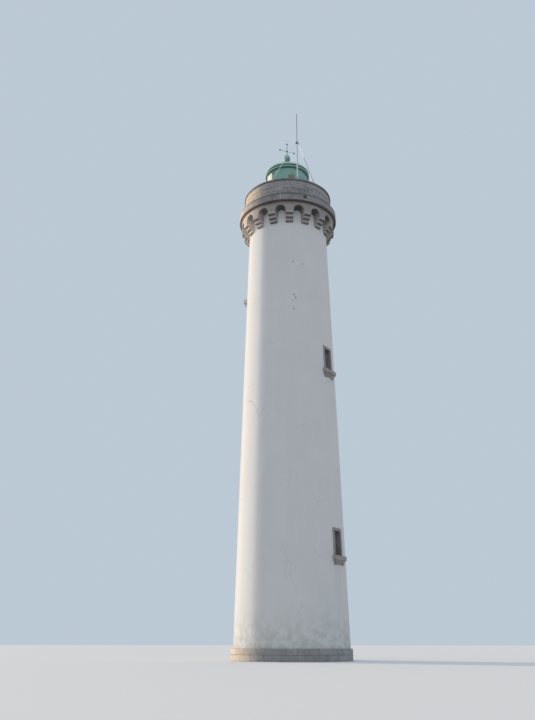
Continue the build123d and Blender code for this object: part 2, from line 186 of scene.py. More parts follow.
def skin(loops: np.ndarray, closed: bool = False) -> Mesh:
    """Skins rows of loops: quads join neighbouring loops, and caps close the first and the last.

    Args:
        loops: points of shape (..., stations, corners, 3).
        closed: joins the last loop to the first instead of capping both.

    Returns:
        The points, and arrays of polygons.
    """
    stations, corners = loops.shape[-3:-1]
    index = np.arange(loops.size // 3).reshape(-1, stations, corners)
    here = index if closed else index[:, :-1]
    there = np.roll(index, -1, axis=1) if closed else index[:, 1:]
    around = (here, np.roll(here, -1, axis=2), np.roll(there, -1, axis=2), there)
    faces = [np.stack(around, axis=-1).reshape(-1, 4)]
    if not closed:
        faces += [index[:, 0, ::-1], index[:, -1]]
    return loops, faces


def turned(start: np.ndarray, axis: np.ndarray, profile: Pairs, sides: int) -> Mesh:
    """Turned shapes: circles of the profile's radii, at its distances along an axis.

    Args:
        start: start points of shape (..., 3).
        axis: directions of shape (..., 3).
        profile: pairs of distance along the axis and radius.
        sides: the number of sides.

    Returns:
        The points, and arrays of polygons.
    """
    start, axis = np.broadcast_arrays(np.asarray(start, float), np.asarray(axis, float))
    axis = unit(axis)
    helper = np.where(np.abs(axis[..., 2:]) < 0.9, UP, (1.0, 0.0, 0.0))
    side = unit(np.cross(axis, helper))
    angle = (np.arange(sides) * TURN / sides)[:, None]
    spokes = (side[..., None, :] * np.cos(angle)
              + np.cross(axis, side)[..., None, :] * np.sin(angle))
    along, radius = np.array(profile, float).T[..., None, None]
    return skin(start[..., None, None, :] + along * axis[..., None, None, :]
                + radius * spokes[..., None, :, :])


def pin(length: float, radius: float, end: float, cut: float) -> Pairs:
    """The turned profile of a pin or band whose ends are cut down to a smaller radius."""
    return (0.0, end), (cut, radius), (length - cut, radius), (length, end)


def blocks(low: np.ndarray, high: np.ndarray, bevel: float) -> np.ndarray:
    """Boxes with cut edges: an eight-cornered loop at four stations along the first coordinate.

    Args:
        low: lowest corners of shape (..., 3), in local coordinates.
        high: highest corners.
        bevel: the width of the cut edges.

    Returns:
        Loops of shape (..., 4, 8, 3).
    """
    low, high = np.broadcast_arrays(np.asarray(low, float), np.asarray(high, float))
    inset = bevel * np.array((1.0, 0.0, 0.0, 1.0))
    cut = bevel * np.array((0.3, 1.0, 1.0, 0.3))
    near, far = low[..., None, :], high[..., None, :]
    along = np.where(np.arange(4) < 2, near[..., 0], far[..., 0])
    along = along + bevel * np.array((0.0, 1.0, -1.0, 0.0))
    b0, b1 = near[..., 1] + inset, far[..., 1] - inset
    c0, c1 = near[..., 2] + inset, far[..., 2] - inset
    b = np.stack((b0 + cut, b1 - cut, b1, b1, b1 - cut, b0 + cut, b0, b0), axis=-1)
    c = np.stack((c0, c0, c0 + cut, c1 - cut, c1, c1, c1 - cut, c0 + cut), axis=-1)
    return np.stack((np.broadcast_to(along[..., None], b.shape), b, c), axis=-1)


@dataclass(frozen=True)
class Facing:
    """An upright reference at an azimuth: across, outwards from the axis, and up."""

    azimuth: float

    @property
    def bearing(self) -> tuple[float, float]:
        """The sine and the cosine of the azimuth."""
        return math.sin(math.radians(self.azimuth)), math.cos(math.radians(self.azimuth))

    def place(self, local: np.ndarray) -> np.ndarray:
        """Turns local coordinates (across, out, up) round the axis to the azimuth.

        Args:
            local: local points of shape (..., 3), across being towards greater azimuths.

        Returns:
            The points in the frame.
        """
        sine, cosine = self.bearing
        across, out, up = np.moveaxis(np.asarray(local, float), -1, 0)
        return np.stack((out * sine + across * cosine, across * sine - out * cosine, up), axis=-1)

    def read(self, points: np.ndarray) -> np.ndarray:
        """Turns points back from the azimuth into local coordinates.

        Args:
            points: points in the frame, of shape (..., 3).

        Returns:
            Local coordinates (across, out, up).
        """
        sine, cosine = self.bearing
        x, y, z = np.moveaxis(points, -1, 0)
        return np.stack((x * cosine + y * sine, x * sine - y * cosine, z), axis=-1)

    def slab(self, low: np.ndarray, high: np.ndarray, bevel: float) -> Mesh:
        """Boxes with cut edges between local corners."""
        return skin(self.place(blocks(low, high, bevel)))

    def stud(self, at: np.ndarray, profile: Pairs, sides: int) -> Mesh:
        """Turned shapes that stand outwards from local points."""
        return turned(self.place(at), self.place((0.0, 1.0, 0.0)), profile, sides)


def rectangle(near: float, far: float, bottom: float, top: float, cut: float) -> np.ndarray:
    """A closed profile of (radius, level): a rectangle with cut corners."""
    return np.array((
        (near + cut, bottom), (far - cut, bottom), (far, bottom + cut), (far, top - cut),
        (far - cut, top), (near + cut, top), (near, top - cut), (near, bottom + cut)))


def rounded(profile: list[tuple[float, float]], cuts: list[float]) -> np.ndarray:
    """Rounds the corners of a closed profile with quadratic arcs between its edges.

    Args:
        profile: the corners.
        cuts: how far each corner's arc reaches along its edges.

    Returns:
        The rounded profile.
    """
    corners, made = np.array(profile, float), []
    for index, cut in enumerate(cuts):
        here = corners[index]
        start = here + cut * unit(corners[index - 1] - here)
        end = here + cut * unit(corners[(index + 1) % len(corners)] - here)
        share = np.linspace(0.0, 1.0, 4 if cut > 0.02 else 2)[:, None]
        made.append((1 - share) ** 2 * start + 2 * share * (1 - share) * here + share ** 2 * end)
    return np.concatenate(made)


def dense(profile: np.ndarray, spacing: float) -> np.ndarray:
    """Puts points into a closed profile, evenly along each of its edges.

    Args:
        profile: the profile's corners.
        spacing: the greatest distance that is left between neighbours.

    Returns:
        The denser profile.
    """
    ahead = np.roll(profile, -1, axis=0)
    counts = np.maximum(np.ceil(np.linalg.norm(ahead - profile, axis=1) / spacing).astype(int), 1)
    return np.concatenate([start + (end - start) * (np.arange(count) / count)[:, None]
                           for start, end, count in zip(profile, ahead, counts)])


def shrunk(profile: np.ndarray, distance: float) -> np.ndarray:
    """Moves a closed profile inwards: each corner goes along the mean of its edges' normals.

    Args:
        profile: the profile's corners.
        distance: how far they move.

    Returns:
        The smaller profile.
    """
    ahead = np.roll(profile, -1, axis=0)
    along = unit(profile - np.roll(profile, 1, axis=0)) + unit(ahead - profile)
    normal = unit(np.stack((-along[:, 1], along[:, 0]), axis=-1))
    area = np.sum(profile[:, 0] * ahead[:, 1] - ahead[:, 0] * profile[:, 1])
    return profile + distance * math.copysign(1.0, area) * normal


def arc_blocks(profile: np.ndarray, starts: np.ndarray, ends: np.ndarray, stations: int,
               joint: float, bevel: float) -> np.ndarray:
    """Stones of a ring: a profile carried round the axis, its first and last station shrunk.

    Args:
        profile: closed profile of (radius, level).
        starts: the azimuths at which the stones start.
        ends: the azimuths at which they end.
        stations: the number of loops along each stone.
        joint: the width of the joint between two stones.
        bevel: the width of the cut ends.

    Returns:
        Loops of shape (stones, stations, corners, 3).
    """
    face = profile[:, 0].max()
    gap, cut = math.degrees(joint / 2.0 / face), math.degrees(bevel / face)
    share = np.linspace(0.0, 1.0, stations - 2)
    starts, ends = np.asarray(starts)[:, None] + gap, np.asarray(ends)[:, None] - gap
    inner = starts + cut + (ends - starts - 2.0 * cut) * share
    azimuth = np.concatenate((starts, inner, ends), axis=1)
    small = shrunk(profile, bevel)
    rows = np.stack([small] + [profile] * (stations - 2) + [small])
    return polar(rows[None, ..., 0], azimuth[..., None], rows[None, ..., 1])


def ring(profile: np.ndarray, segments: int) -> Mesh:
    """A closed profile of (radius, level) turned once round the axis."""
    azimuth = np.arange(segments)[:, None] * 360.0 / segments
    return skin(polar(profile[None, :, 0], azimuth, profile[None, :, 1]), closed=True)


class Lot:
    """Meshes gathered into one piece, with a tone for each point."""

    def __init__(self) -> None:
        """Starts with nothing in it."""
        self.points: list[np.ndarray] = []
        self.faces: list[np.ndarray] = []
        self.tones: list[np.ndarray] = []
        self.count = 0

    def add(self, mesh: Mesh, tone: np.ndarray | float = 0.5) -> "Lot":
        """Takes in one mesh.

        Args:
            mesh: its points and its arrays of polygons.
            tone: its tone, from 0 to 1, for all of it or shaped to be spread over its points.

        Returns:
            The lot itself.
        """
        points, faces = mesh
        self.points.append(points.reshape(-1, 3))
        self.faces += [rows.reshape(-1, rows.shape[-1]) + self.count for rows in faces]
        self.tones.append(np.broadcast_to(tone, points.shape[:-1]).ravel())
        self.count += points.size // 3
        return self

    def piece(self, name: str, slot: Slot, material: bpy.types.Material,
              replaces: tuple[str, ...] = (), closed: bool = True) -> bpy.types.Object:
        """Makes the piece and lets it ride with the tower.

        Args:
            name: the name of the piece.
            slot: its slot in the record; not used.
            material: its material.
            replaces: the nodes that it stands for.
            closed: turns the faces of closed shells outwards; otherwise the rims stay sharp.

        Returns:
            The object.
        """
        loops = np.concatenate([rows.ravel() for rows in self.faces])
        sizes = np.concatenate([np.full(len(rows), rows.shape[1]) for rows in self.faces])
        starts = np.concatenate(((0,), np.cumsum(sizes)[:-1]))
        mesh = bpy.data.meshes.new(name)
        mesh.vertices.add(self.count)
        mesh.vertices.foreach_set("co", np.concatenate(self.points).astype(np.float32).ravel())
        mesh.loops.add(len(loops))
        mesh.loops.foreach_set("vertex_index", loops.astype(np.int32))
        mesh.polygons.add(len(sizes))
        mesh.polygons.foreach_set("loop_start", starts.astype(np.int32))
        mesh.update(calc_edges=True)
        if closed:
            turn_outwards(mesh)
        carry(mesh, "tone", np.concatenate(self.tones))
        piece = finished(mesh, material, replaces, 40.0)
        if not closed:
            sharpen_rims(mesh)
        return piece


def carry(mesh: bpy.types.Mesh, name: str, values: np.ndarray) -> None:
    """Gives a mesh a named number for each point."""
    data = mesh.attributes.new(name, "FLOAT", "POINT").data
    data.foreach_set("value", values.astype(np.float32).ravel())


def sharpen_rims(mesh: bpy.types.Mesh) -> None:
    """Marks the edges that have one face only as sharp, so that no shading bends round a rim."""
    edges = np.zeros(len(mesh.loops), np.int32)
    mesh.loops.foreach_get("edge_index", edges)
    sharp = np.zeros(len(mesh.edges), bool)
    mesh.edges.foreach_get("use_edge_sharp", sharp)
    sharp |= np.bincount(edges, minlength=sharp.size) == 1
    mesh.edges.foreach_set("use_edge_sharp", sharp)


def turn_outwards(mesh: bpy.types.Mesh) -> None:
    """Turns the faces of a mesh of closed shells outwards."""
    work = bmesh.new()
    work.from_mesh(mesh)
    bmesh.ops.recalc_face_normals(work, faces=work.faces)
    work.to_mesh(mesh)
    work.free()


def finished(mesh: bpy.types.Mesh, material: bpy.types.Material,
             replaces: tuple[str, ...], smooth: float) -> bpy.types.Object:
    """Makes a mesh a piece, with its shading and material, that rides with the tower.

    Args:
        mesh: the mesh, which names the piece.
        material: its material.
        replaces: the nodes that it stands for.
        smooth: the angle up to which an edge is shaded smooth.

    Returns:
        The object.
    """
    piece = bpy.data.objects.new(mesh.name, mesh)
    mesh.materials.clear()
    mesh.materials.append(material)
    mesh.shade_smooth()
    mesh.set_sharp_from_angle(angle=math.radians(smooth))
    bpy.context.scene.collection.objects.link(piece)
    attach(piece, "root")
    if replaces:
        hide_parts(*replaces)
    LOG.info("%s: %d faces", piece.name, len(mesh.polygons))
    return piece


def loose_parts(work: bmesh.types.BMesh) -> list[list[int]]:
    """Sorts the points of a mesh into its loose parts, by walking along its edges.

    Args:
        work: the mesh.

    Returns:
        The points' numbers, a list for each part, in the order of each part's first point.
    """
    parts: list[list[int]] = []
    seen: set[int] = set()
    for vertex in work.verts:
        if vertex.index in seen:
            continue
        seen.add(vertex.index)
        part, front = [], [vertex]
        while front:
            here = front.pop()
            part.append(here.index)
            for there in (edge.other_vert(here) for edge in here.link_edges):
                if there.index not in seen:
                    seen.add(there.index)
                    front.append(there)
        parts.append(part)
    return parts


def worn_copy(node: str, material: bpy.types.Material, width: float, seed: int) -> None:
    """Replaces a stone node by a copy with rounded edges and a tone of its own for each stone.

    Args:
        node: the node that it stands for.
        material: its material.
        width: the width of the rounded edges.
        seed: the start of the random tones.
    """
    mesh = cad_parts[node].data.copy()
    mesh.name = node + "_worn"
    work = bmesh.new()
    work.from_mesh(mesh)
    bmesh.ops.remove_doubles(work, verts=work.verts, dist=2e-5)
    bmesh.ops.dissolve_limit(work, angle_limit=math.radians(0.4), verts=work.verts,
                             edges=work.edges)
    work.verts.ensure_lookup_table()
    tones, draw = np.zeros(len(work.verts)), np.random.default_rng(seed)
    for part in loose_parts(work):
        tones[part] = draw.uniform(0.0, 1.0)
    work.to_mesh(mesh)
    work.free()
    carry(mesh, "tone", tones)
    bevel = finished(mesh, material, (node,), 30.0).modifiers.new("worn_edges",
                                                                               "BEVEL")
    bevel.width, bevel.segments, bevel.limit_method = width, 2, "ANGLE"
    bevel.angle_limit, bevel.harden_normals = math.radians(32.0), True


def on_nodes(operation: str, swapped: bool = False) -> Callable[..., "Value"]:
    """Makes an operator that adds a Math node.

    Args:
        operation: the node's operation.
        swapped: takes the two terms the other way round.

    Returns:
        The operator.
    """
    def apply(value: "Value", *others: "Value | float") -> "Value":
        """Works the operation out on a value and any other term."""
        terms = (*others, value) if swapped else (value, *others)
        return value.paint.add("ShaderNodeMath", {"operation": operation}, dict(enumerate(terms)))

    return apply


class Value:
    """A socket of a shader, with sums and comparisons that add their nodes."""

    def __init__(self, paint: "Paint", socket: bpy.types.NodeSocket) -> None:
        """Keeps the socket and the paint that it is in."""
        self.paint, self.socket = paint, socket

    __add__ = __radd__ = on_nodes("ADD")
    __sub__, __rsub__ = on_nodes("SUBTRACT"), on_nodes("SUBTRACT", swapped=True)
    __mul__ = __rmul__ = on_nodes("MULTIPLY")
    __truediv__, __pow__ = on_nodes("DIVIDE"), on_nodes("POWER")
    __abs__, __or__ = on_nodes("ABSOLUTE"), on_nodes("MAXIMUM")

    def rise(self, low: float, high: float) -> "Value":
        """Goes smoothly from zero at one bound to one at the other, which may be the lower.

        Args:
            low: where it is zero.
            high: where it is one.

        Returns:
            The share.
        """
        if low > high:
            return 1.0 - self.rise(high, low)
        return self.paint.add("ShaderNodeMapRange", {"interpolation_type": "SMOOTHSTEP"},
                              {0: self, 1: low, 2: high})

    def band(self, start: float, low: float, high: float, end: float) -> "Value":
        """One between two bounds, and zero before the start and after the end."""
        return self.rise(start, low) * self.rise(end, high)

    def part(self, name: str) -> "Value":
        """Another output of the same node."""
        return Value(self.paint, self.socket.node.outputs[name])


class Paint:
    """A node tree of a material or world."""

    def __init__(self, owner: bpy.types.Material | bpy.types.World) -> None:
        """Empties the owner's tree."""
        owner.use_nodes = True
        self.owner, self.tree = owner, owner.node_tree
        self.tree.nodes.clear()

    def add(self, kind: str, settings: dict | None = None, inputs: dict | None = None,
            out: int | str = 0) -> Value:
        """Adds a node.

        Args:
            kind: the type of the node.
            settings: the node's own settings.
            inputs: values or links for its sockets, by name or number.
            out: the output that is given back.

        Returns:
            The output as a value.
        """
        node = self.tree.nodes.new(kind)
        for name, setting in (settings or {}).items():
            setattr(node, name, setting)
        for key, given in (inputs or {}).items():
            if isinstance(given, Value):
                self.tree.links.new(given.socket, node.inputs[key])
            else:
                node.inputs[key].default_value = given
        return Value(self, node.outputs[out] if len(node.outputs) else None)

    def axes(self, vector: Value) -> tuple[Value, Value, Value]:
        """The three parts of a vector."""
        split = self.add("ShaderNodeSeparateXYZ", inputs={0: vector})
        return split.part("X"), split.part("Y"), split.part("Z")

    @cached_property
    def point(self) -> Value:
        """The point on the piece, in object coordinates."""
        return self.add("ShaderNodeTexCoord", out="Object")

    @cached_property
    def xyz(self) -> tuple[Value, Value, Value]:
        """The three coordinates of the point."""
        return self.axes(self.point)

    @cached_property
    def azimuth(self) -> Value:
        """The azimuth of the point in degrees."""
        x, y, _ = self.xyz
        angle = self.add("ShaderNodeMath", {"operation": "ARCTAN2"}, {0: x, 1: 0.0 - y})
        return angle * (180.0 / math.pi)

    @cached_property
    def distance(self) -> Value:
        """The distance of the point from the axis, kept off zero."""
        x, y, _ = self.xyz
        return (x * x + y * y + 1e-8) ** 0.5

    def facing_up(self) -> Value:
        """How far the surface faces up, from -1 to 1."""
        return self.axes(self.add("ShaderNodeTexCoord", out="Normal"))[2]

    def sunlit_share(self, towards: float, low: float, high: float) -> Value:
        """How far the point lies on the side of the tower that an azimuth names, the share by which
        the finishes paint sunlight there.

        Args:
            towards: the azimuth.
            low: the cosine of the turn from it at which the share is zero.
            high: the cosine at which it is one.

        Returns:
            The share.
        """
        x, y, _ = self.xyz
        angle = math.radians(towards)
        return ((x * math.sin(angle) - y * math.cos(angle)) / self.distance).rise(low, high)

    def apart(self, azimuth: float, half: float, level: float, reach: float) -> Value:
        """How far off a place the point is, in shares of the reach in azimuth and in level."""
        return abs(self.azimuth - azimuth) / half | abs(self.xyz[2] - level) / reach

    def place(self, stretch: Colour | None) -> Value:
        """The point, stretched along the axes."""
        if stretch is None:
            return self.point
        return self.add("ShaderNodeMapping", inputs={"Vector": self.point, "Scale": stretch})

    def noise(self, scale: float, detail: float, stretch: Colour | None = None) -> Value:
        """Cloudy noise of so many periods a metre, from 0 to 1."""
        return self.add("ShaderNodeTexNoise", None, {
            "Vector": self.place(stretch), "Scale": scale, "Detail": detail, "Roughness": 0.55})

    def cells(self, scale: float, feature: str = "F1", stretch: Colour | None = None,
              out: str = "Distance") -> Value:
        """A pattern of cells of so many a metre."""
        return self.add("ShaderNodeTexVoronoi", {"feature": feature},
                        {"Vector": self.place(stretch), "Scale": scale}, out)

    def attribute(self, name: str) -> Value:
        """A number that the piece's own mesh carries."""
        return self.add("ShaderNodeAttribute", {"attribute_name": name}, out="Fac")

    def mix(self, share: Value | float, first: Value | Colour, second: Value | Colour,
            way: str = "MIX") -> Value:
        """Turns one colour by a share into another.

        Args:
            share: the second colour's share.
            first: the colour at a share of zero.
            second: the colour at a share of one.
            way: the way in which they blend.

        Returns:
            The blend.
        """
        full = [(*c, 1.0) if isinstance(c, tuple) else c for c in (first, second)]
        return self.add("ShaderNodeMix", {"data_type": "RGBA", "blend_type": way},
                        {0: share, 6: full[0], 7: full[1]}, 2)

    def coats(self, colour: Value | Colour,
              *coats: tuple[Value | float, Value | Colour]) -> Value:
        """Lays coats over a colour, one after another.

        Args:
            colour: the colour below.
            coats: the share and the colour of each coat.

        Returns:
            The colour on top.
        """
        for share, coat in coats:
            colour = self.mix(share, colour, coat)
        return colour

    def shaded(self, colour: Value | Colour, factor: Value) -> Value:
        """A colour made lighter or darker by a factor."""
        grey = self.add("ShaderNodeCombineColor", inputs={0: factor, 1: factor, 2: factor})
        return self.mix(1.0, colour, grey, "MULTIPLY")

    def bump(self, height: Value, depth: float, strength: float = 1.0) -> Value:
        """A normal from a height of 0 to 1 and the depth of that height in metres."""
        return self.add("ShaderNodeBump", None, {"Height": height, "Distance": depth,
                                                 "Strength": strength})

    def shader(self, **inputs: Value | float | tuple) -> Value:
        """Adds a surface's shader.

        Args:
            inputs: what its sockets take, by their names with underscores for spaces.

        Returns:
            The shader.
        """
        return self.add("ShaderNodeBsdfPrincipled", None, {
            name.replace("_", " "): (*given, 1.0) if isinstance(given, tuple) else given
            for name, given in inputs.items()})

    def surface(self, shader: Value) -> bpy.types.Material:
        """Puts a shader on the surface and gives back the material."""
        self.add("ShaderNodeOutputMaterial", None, {"Surface": shader})
        return self.owner


def fresh(name: str) -> Paint:
    """A new material's paint."""
    return Paint(bpy.data.materials.new(name))


@dataclass(frozen=True)
class Limewash:
    """Old limewash over render: cool white, faintly streaked, its undercoat bare in the chips, and
    painted lighter on the sunlit side.
    """

    name: str = "limewash"
    white: Colour = (0.565, 0.57, 0.575)
    stain: Colour = (0.40, 0.385, 0.35)
    algae: Colour = (0.30, 0.32, 0.25)
    undercoat: Colour = (0.36, 0.335, 0.30)

    def material(self) -> bpy.types.Material:
        """Builds the material."""
        paint = fresh(self.name)
        level, head = paint.xyz[2], Stonework.corbels
        runs, fine = (paint.noise(2.6, 5.0, (1.0, 1.0, 0.06)),
                      paint.noise(9.0, 4.0, (1.0, 1.0, 0.04)))
        clouds, grain = paint.noise(0.45, 6.0), paint.noise(70.0, 3.0)
        # Painted sunlight: the white is lightened on the sunlit side, less so at that side's very
        # edge.
        sunlit_tint = paint.sunlit_share(SUNLIT_AZIMUTH, 0.42, 0.57)
        sunlit_tint = sunlit_tint * (0.24 - 0.20 * paint.sunlit_share(SUNLIT_AZIMUTH - 5.0, 0.78, 0.96))
        below_head = level.rise(head - 4.3, head + 0.3) * (runs * 0.7 + fine * 0.3).rise(0.50, 0.72)
        old_runs = (runs * fine).rise(0.30, 0.42) * clouds.rise(0.35, 0.65)
        splash = level.rise(3.4, 0.7) * paint.noise(2.2, 6.0).rise(0.35, 0.66)
        streaks = (runs * 0.4 + fine * 0.6).rise(0.42, 0.68)
        under_sills = [(abs(paint.azimuth - place).rise(11.0, 6.0) * streaks * 0.34
                        * level.band(sill - 4.2, sill - 0.6, sill - 0.3, sill), self.stain)
                       for place, sill in Windows.places]
        crack = paint.cells(0.55, "DISTANCE_TO_EDGE", (1.0, 1.0, 0.55)).rise(0.010, 0.002)
        crack = crack * paint.noise(0.35, 2.0).rise(0.52, 0.62)
        colour = paint.coats(
            paint.shaded(self.white, 0.89 + 0.11 * clouds + 0.06 * runs + 0.03 * grain + sunlit_tint),
            (below_head * 0.16, self.stain), (old_runs * 0.10, self.stain),
            (splash * 0.45, self.algae), *under_sills, (crack * 0.35, self.stain),
            (paint.attribute("bare").rise(0.35, 0.6),
             paint.shaded(self.undercoat, 0.75 + 0.5 * grain)))
        height = paint.noise(5.0, 4.0) * 0.55 + grain * 0.3 + paint.cells(38.0) * 0.15
        return paint.surface(paint.shader(
            Base_Color=colour, Roughness=0.86 + 0.08 * grain, Specular_IOR_Level=0.3,
            Normal=paint.bump(height, 0.006)))


@dataclass(frozen=True)
class Granite:
    """Weathered granite: speckled, crusted on the shaded side, painted paler and warmer on the
    sunlit side, with painted shade under overhangs and in recesses.
    """

    name: str = "granite"
    shade: Colour = (0.268, 0.274, 0.284)
    sunlit_tint: Colour = (0.70, 0.59, 0.49)
    crusted: float = 0.55
    crust: Colour = (0.10, 0.095, 0.09)
    spar: Colour = (0.46, 0.42, 0.39)
    mica: Colour = (0.055, 0.055, 0.06)
    ochre: Colour = (0.27, 0.17, 0.055)
    growth: Colour = (0.15, 0.17, 0.075)
    moss: Colour = (0.165, 0.17, 0.09)
    lichen: Colour = (0.33, 0.34, 0.30)
    run: Colour = (0.45, 0.45, 0.36)
    damp: Colour = (0.19, 0.125, 0.105)
    painted_shade: Colour = (0.03, 0.027, 0.025)
    sunlit_shadow_tone: Colour = (0.36, 0.24, 0.155)

    def material(self) -> bpy.types.Material:
        """Builds the material."""
        paint = fresh(self.name)
        level, away, up = paint.xyz[2], paint.distance, paint.facing_up()
        patches, spots = paint.noise(1.3, 6.0), paint.noise(7.0, 5.0)
        grain = paint.noise(120.0, 2.0)
        speck = paint.axes(paint.cells(150.0, out="Color"))
        lit = paint.sunlit_share(SUNLIT_AZIMUTH, 0.18, 0.78)
        low, high, face = Stonework.frieze_low, Stonework.cornice_low, Stonework.frieze_radius
        edge, wall = Stonework.gallery, Stonework.parapet_out
        # Crust is dirt, but it is thinned on the sunlit side, which also paints that side lighter.
        crust = (patches * 0.6 + spots * 0.4).rise(0.46, 0.66) * (1.0 - 0.75 * lit)
        runs = paint.noise(6.0, 4.0, (1.0, 1.0, 0.12)).rise(0.54, 0.72)
        corbel = level.band(Stonework.corbels - 0.02, Stonework.corbels, low - 0.01, low + 0.01)
        # Painted shade deep in the arches' niches, weaker on the sunlit side.
        niche = (level.band(low + 0.08, low + 0.40, high - 0.02, high + 0.02)
                 * away.rise(face - 0.01, face - 0.12) * (1.0 - 0.45 * lit))
        # Painted shadow line under the cornice.
        under = level.band(high - 0.13, high - 0.05, high + 0.03, high + 0.06)
        arris = level.rise(edge - 0.15, edge - 0.08) * away.rise(wall + 0.1, wall + 0.2)
        lichen = paint.cells(9.0).rise(0.20, 0.10) * paint.noise(1.7, 3.0).rise(0.55, 0.66)
        ochre = paint.cells(6.0, stretch=(1.0, 1.0, 1.6)).rise(0.24, 0.13)
        ochre = ochre * paint.noise(0.9, 3.0).rise(0.60, 0.68)
        # Painted light: the shade colour on the shaded side, turning into the paler, warmer sunlit
        # colour on the sunlit side.
        colour = paint.coats(
            paint.shaded(paint.mix(lit, self.shade, self.sunlit_tint),
                         0.70 + 0.28 * paint.attribute("tone") + 0.34 * patches),
            (speck[0].rise(0.62, 0.75) * 0.45, self.spar),
            (speck[1].rise(0.80, 0.88) * 0.55, self.mica),
            (crust * self.crusted, self.crust),
            # Dark runs on the shaded side only: dirt, and painted shade on that side.
            (runs * 0.22 * (1.0 - lit), self.crust),
            # Painted light on the corbels: on the shaded side their faces that do not look down are
            # lightened.
            (corbel * up.rise(-0.45, 0.0) * 0.42 * (1.0 - lit), self.spar),
            # Painted shade: faces that look down are darkened, the corbels' undersides most.
            (up.rise(-0.2, -0.8) * (0.44 + 0.24 * corbel) * (1.0 - 0.12 * lit), self.painted_shade),
            # Painted shade in the niches.
            (niche * 0.66, self.painted_shade),
            # Painted shadow line under the cornice, brown on the sunlit side; the cornice's top
            # edge is darkened with the same colours.
            ((under * 0.75 | arris * 0.80) * (0.7 + spots * 0.5),
             paint.mix(lit, self.painted_shade, self.sunlit_shadow_tone)),
            (lichen * 0.55, self.lichen),
            (ochre * 0.6, self.ochre),
            (up.rise(0.35, 0.8) * spots.rise(0.38, 0.6) * 0.55, self.growth),
            *self.marks(paint, spots))
        height = grain * 0.45 + spots * 0.4 + speck[2] * 0.15
        return paint.surface(paint.shader(
            Base_Color=colour, Roughness=0.80 + 0.12 * grain, Specular_IOR_Level=0.35,
            Normal=paint.bump(height, 0.004)))

    def marks(self, paint: Paint, spots: Value) -> list[tuple[Value, Colour]]:
        """The marks that this tower has: soft patches, each round an azimuth and a level.

        Args:
            paint: the paint that is being built.
            spots: noise that breaks the marks up.

        Returns:
            A coat for each mark: dark bands on the parapet, lichen, painted shade in a hole, growth
                and runs.
        """
        rough = paint.noise(14.0, 4.0, (1.0, 1.0, 2.5)).rise(0.36, 0.58)
        floor, foot, ragged = Stonework.gallery, Stonework.cornice_low, 1.2
        places = (
            (4.6, 9.8, floor + 0.63, 0.06, ragged, rough * 0.9, self.mica),
            (20.5, 7.5, floor + 0.59, 0.06, ragged, rough * 0.9, self.mica),
            (-24.0, 9.0, floor + 0.78, 0.045, ragged, rough * 0.5, self.mica),
            (17.3, 2.4, floor - 0.03, 0.12, ragged, 0.62, self.ochre),
            # Painted shade in the hollow of the cornice's face.
            (20.5, 2.0, floor - 0.27, 0.125, 0.1, 0.9, self.painted_shade),
            (-34.0, 19.0, floor, 0.16, ragged, 0.55, self.moss),
            (-8.0, 0.8, floor - 0.26, 0.24, ragged, 0.35, self.run),
            (-3.0, 24.0, foot - 0.12, 0.12, ragged, 0.50, self.damp),
            (-50.0, 16.0, foot + 0.02, 0.03, ragged, 0.5, self.growth))
        return [((paint.apart(*place) + (spots - 0.5) * broken).rise(1.5, 0.5) * share, colour)
                for *place, broken, share, colour in places]


@dataclass(frozen=True)
class Mortar:
    """Lime mortar in the joints and under the stones."""

    name: str = "mortar"
    sand: Colour = (0.235, 0.225, 0.205)

    def material(self) -> bpy.types.Material:
        """Builds the material."""
        paint = fresh(self.name)
        grain = paint.noise(160.0, 3.0)
        colour = paint.shaded(self.sand, 0.55 + 0.5 * paint.noise(2.2, 5.0) + 0.4 * grain)
        return paint.surface(paint.shader(Base_Color=colour, Roughness=0.94,
                                          Specular_IOR_Level=0.2, Normal=paint.bump(grain, 0.003)))


@dataclass(frozen=True)
class FloorStone:
    """Pale worn flags, damp here and there."""

    name: str = "floor_stone"
    stone: Colour = (0.33, 0.31, 0.285)
    damp: Colour = (0.12, 0.125, 0.09)

    def material(self) -> bpy.types.Material:
        """Builds the material."""
        paint = fresh(self.name)
        grain, patches = paint.noise(90.0, 3.0), paint.noise(1.8, 6.0)
        factor = 0.62 + 0.25 * paint.attribute("tone") + 0.35 * patches + 0.15 * grain
        colour = paint.mix(paint.noise(0.8, 5.0).rise(0.52, 0.70) * 0.4,
                           paint.shaded(self.stone, factor), self.damp)
        return paint.surface(paint.shader(
            Base_Color=colour, Roughness=0.78 + 0.14 * grain,
            Normal=paint.bump(grain * 0.5 + patches * 0.5, 0.004)))


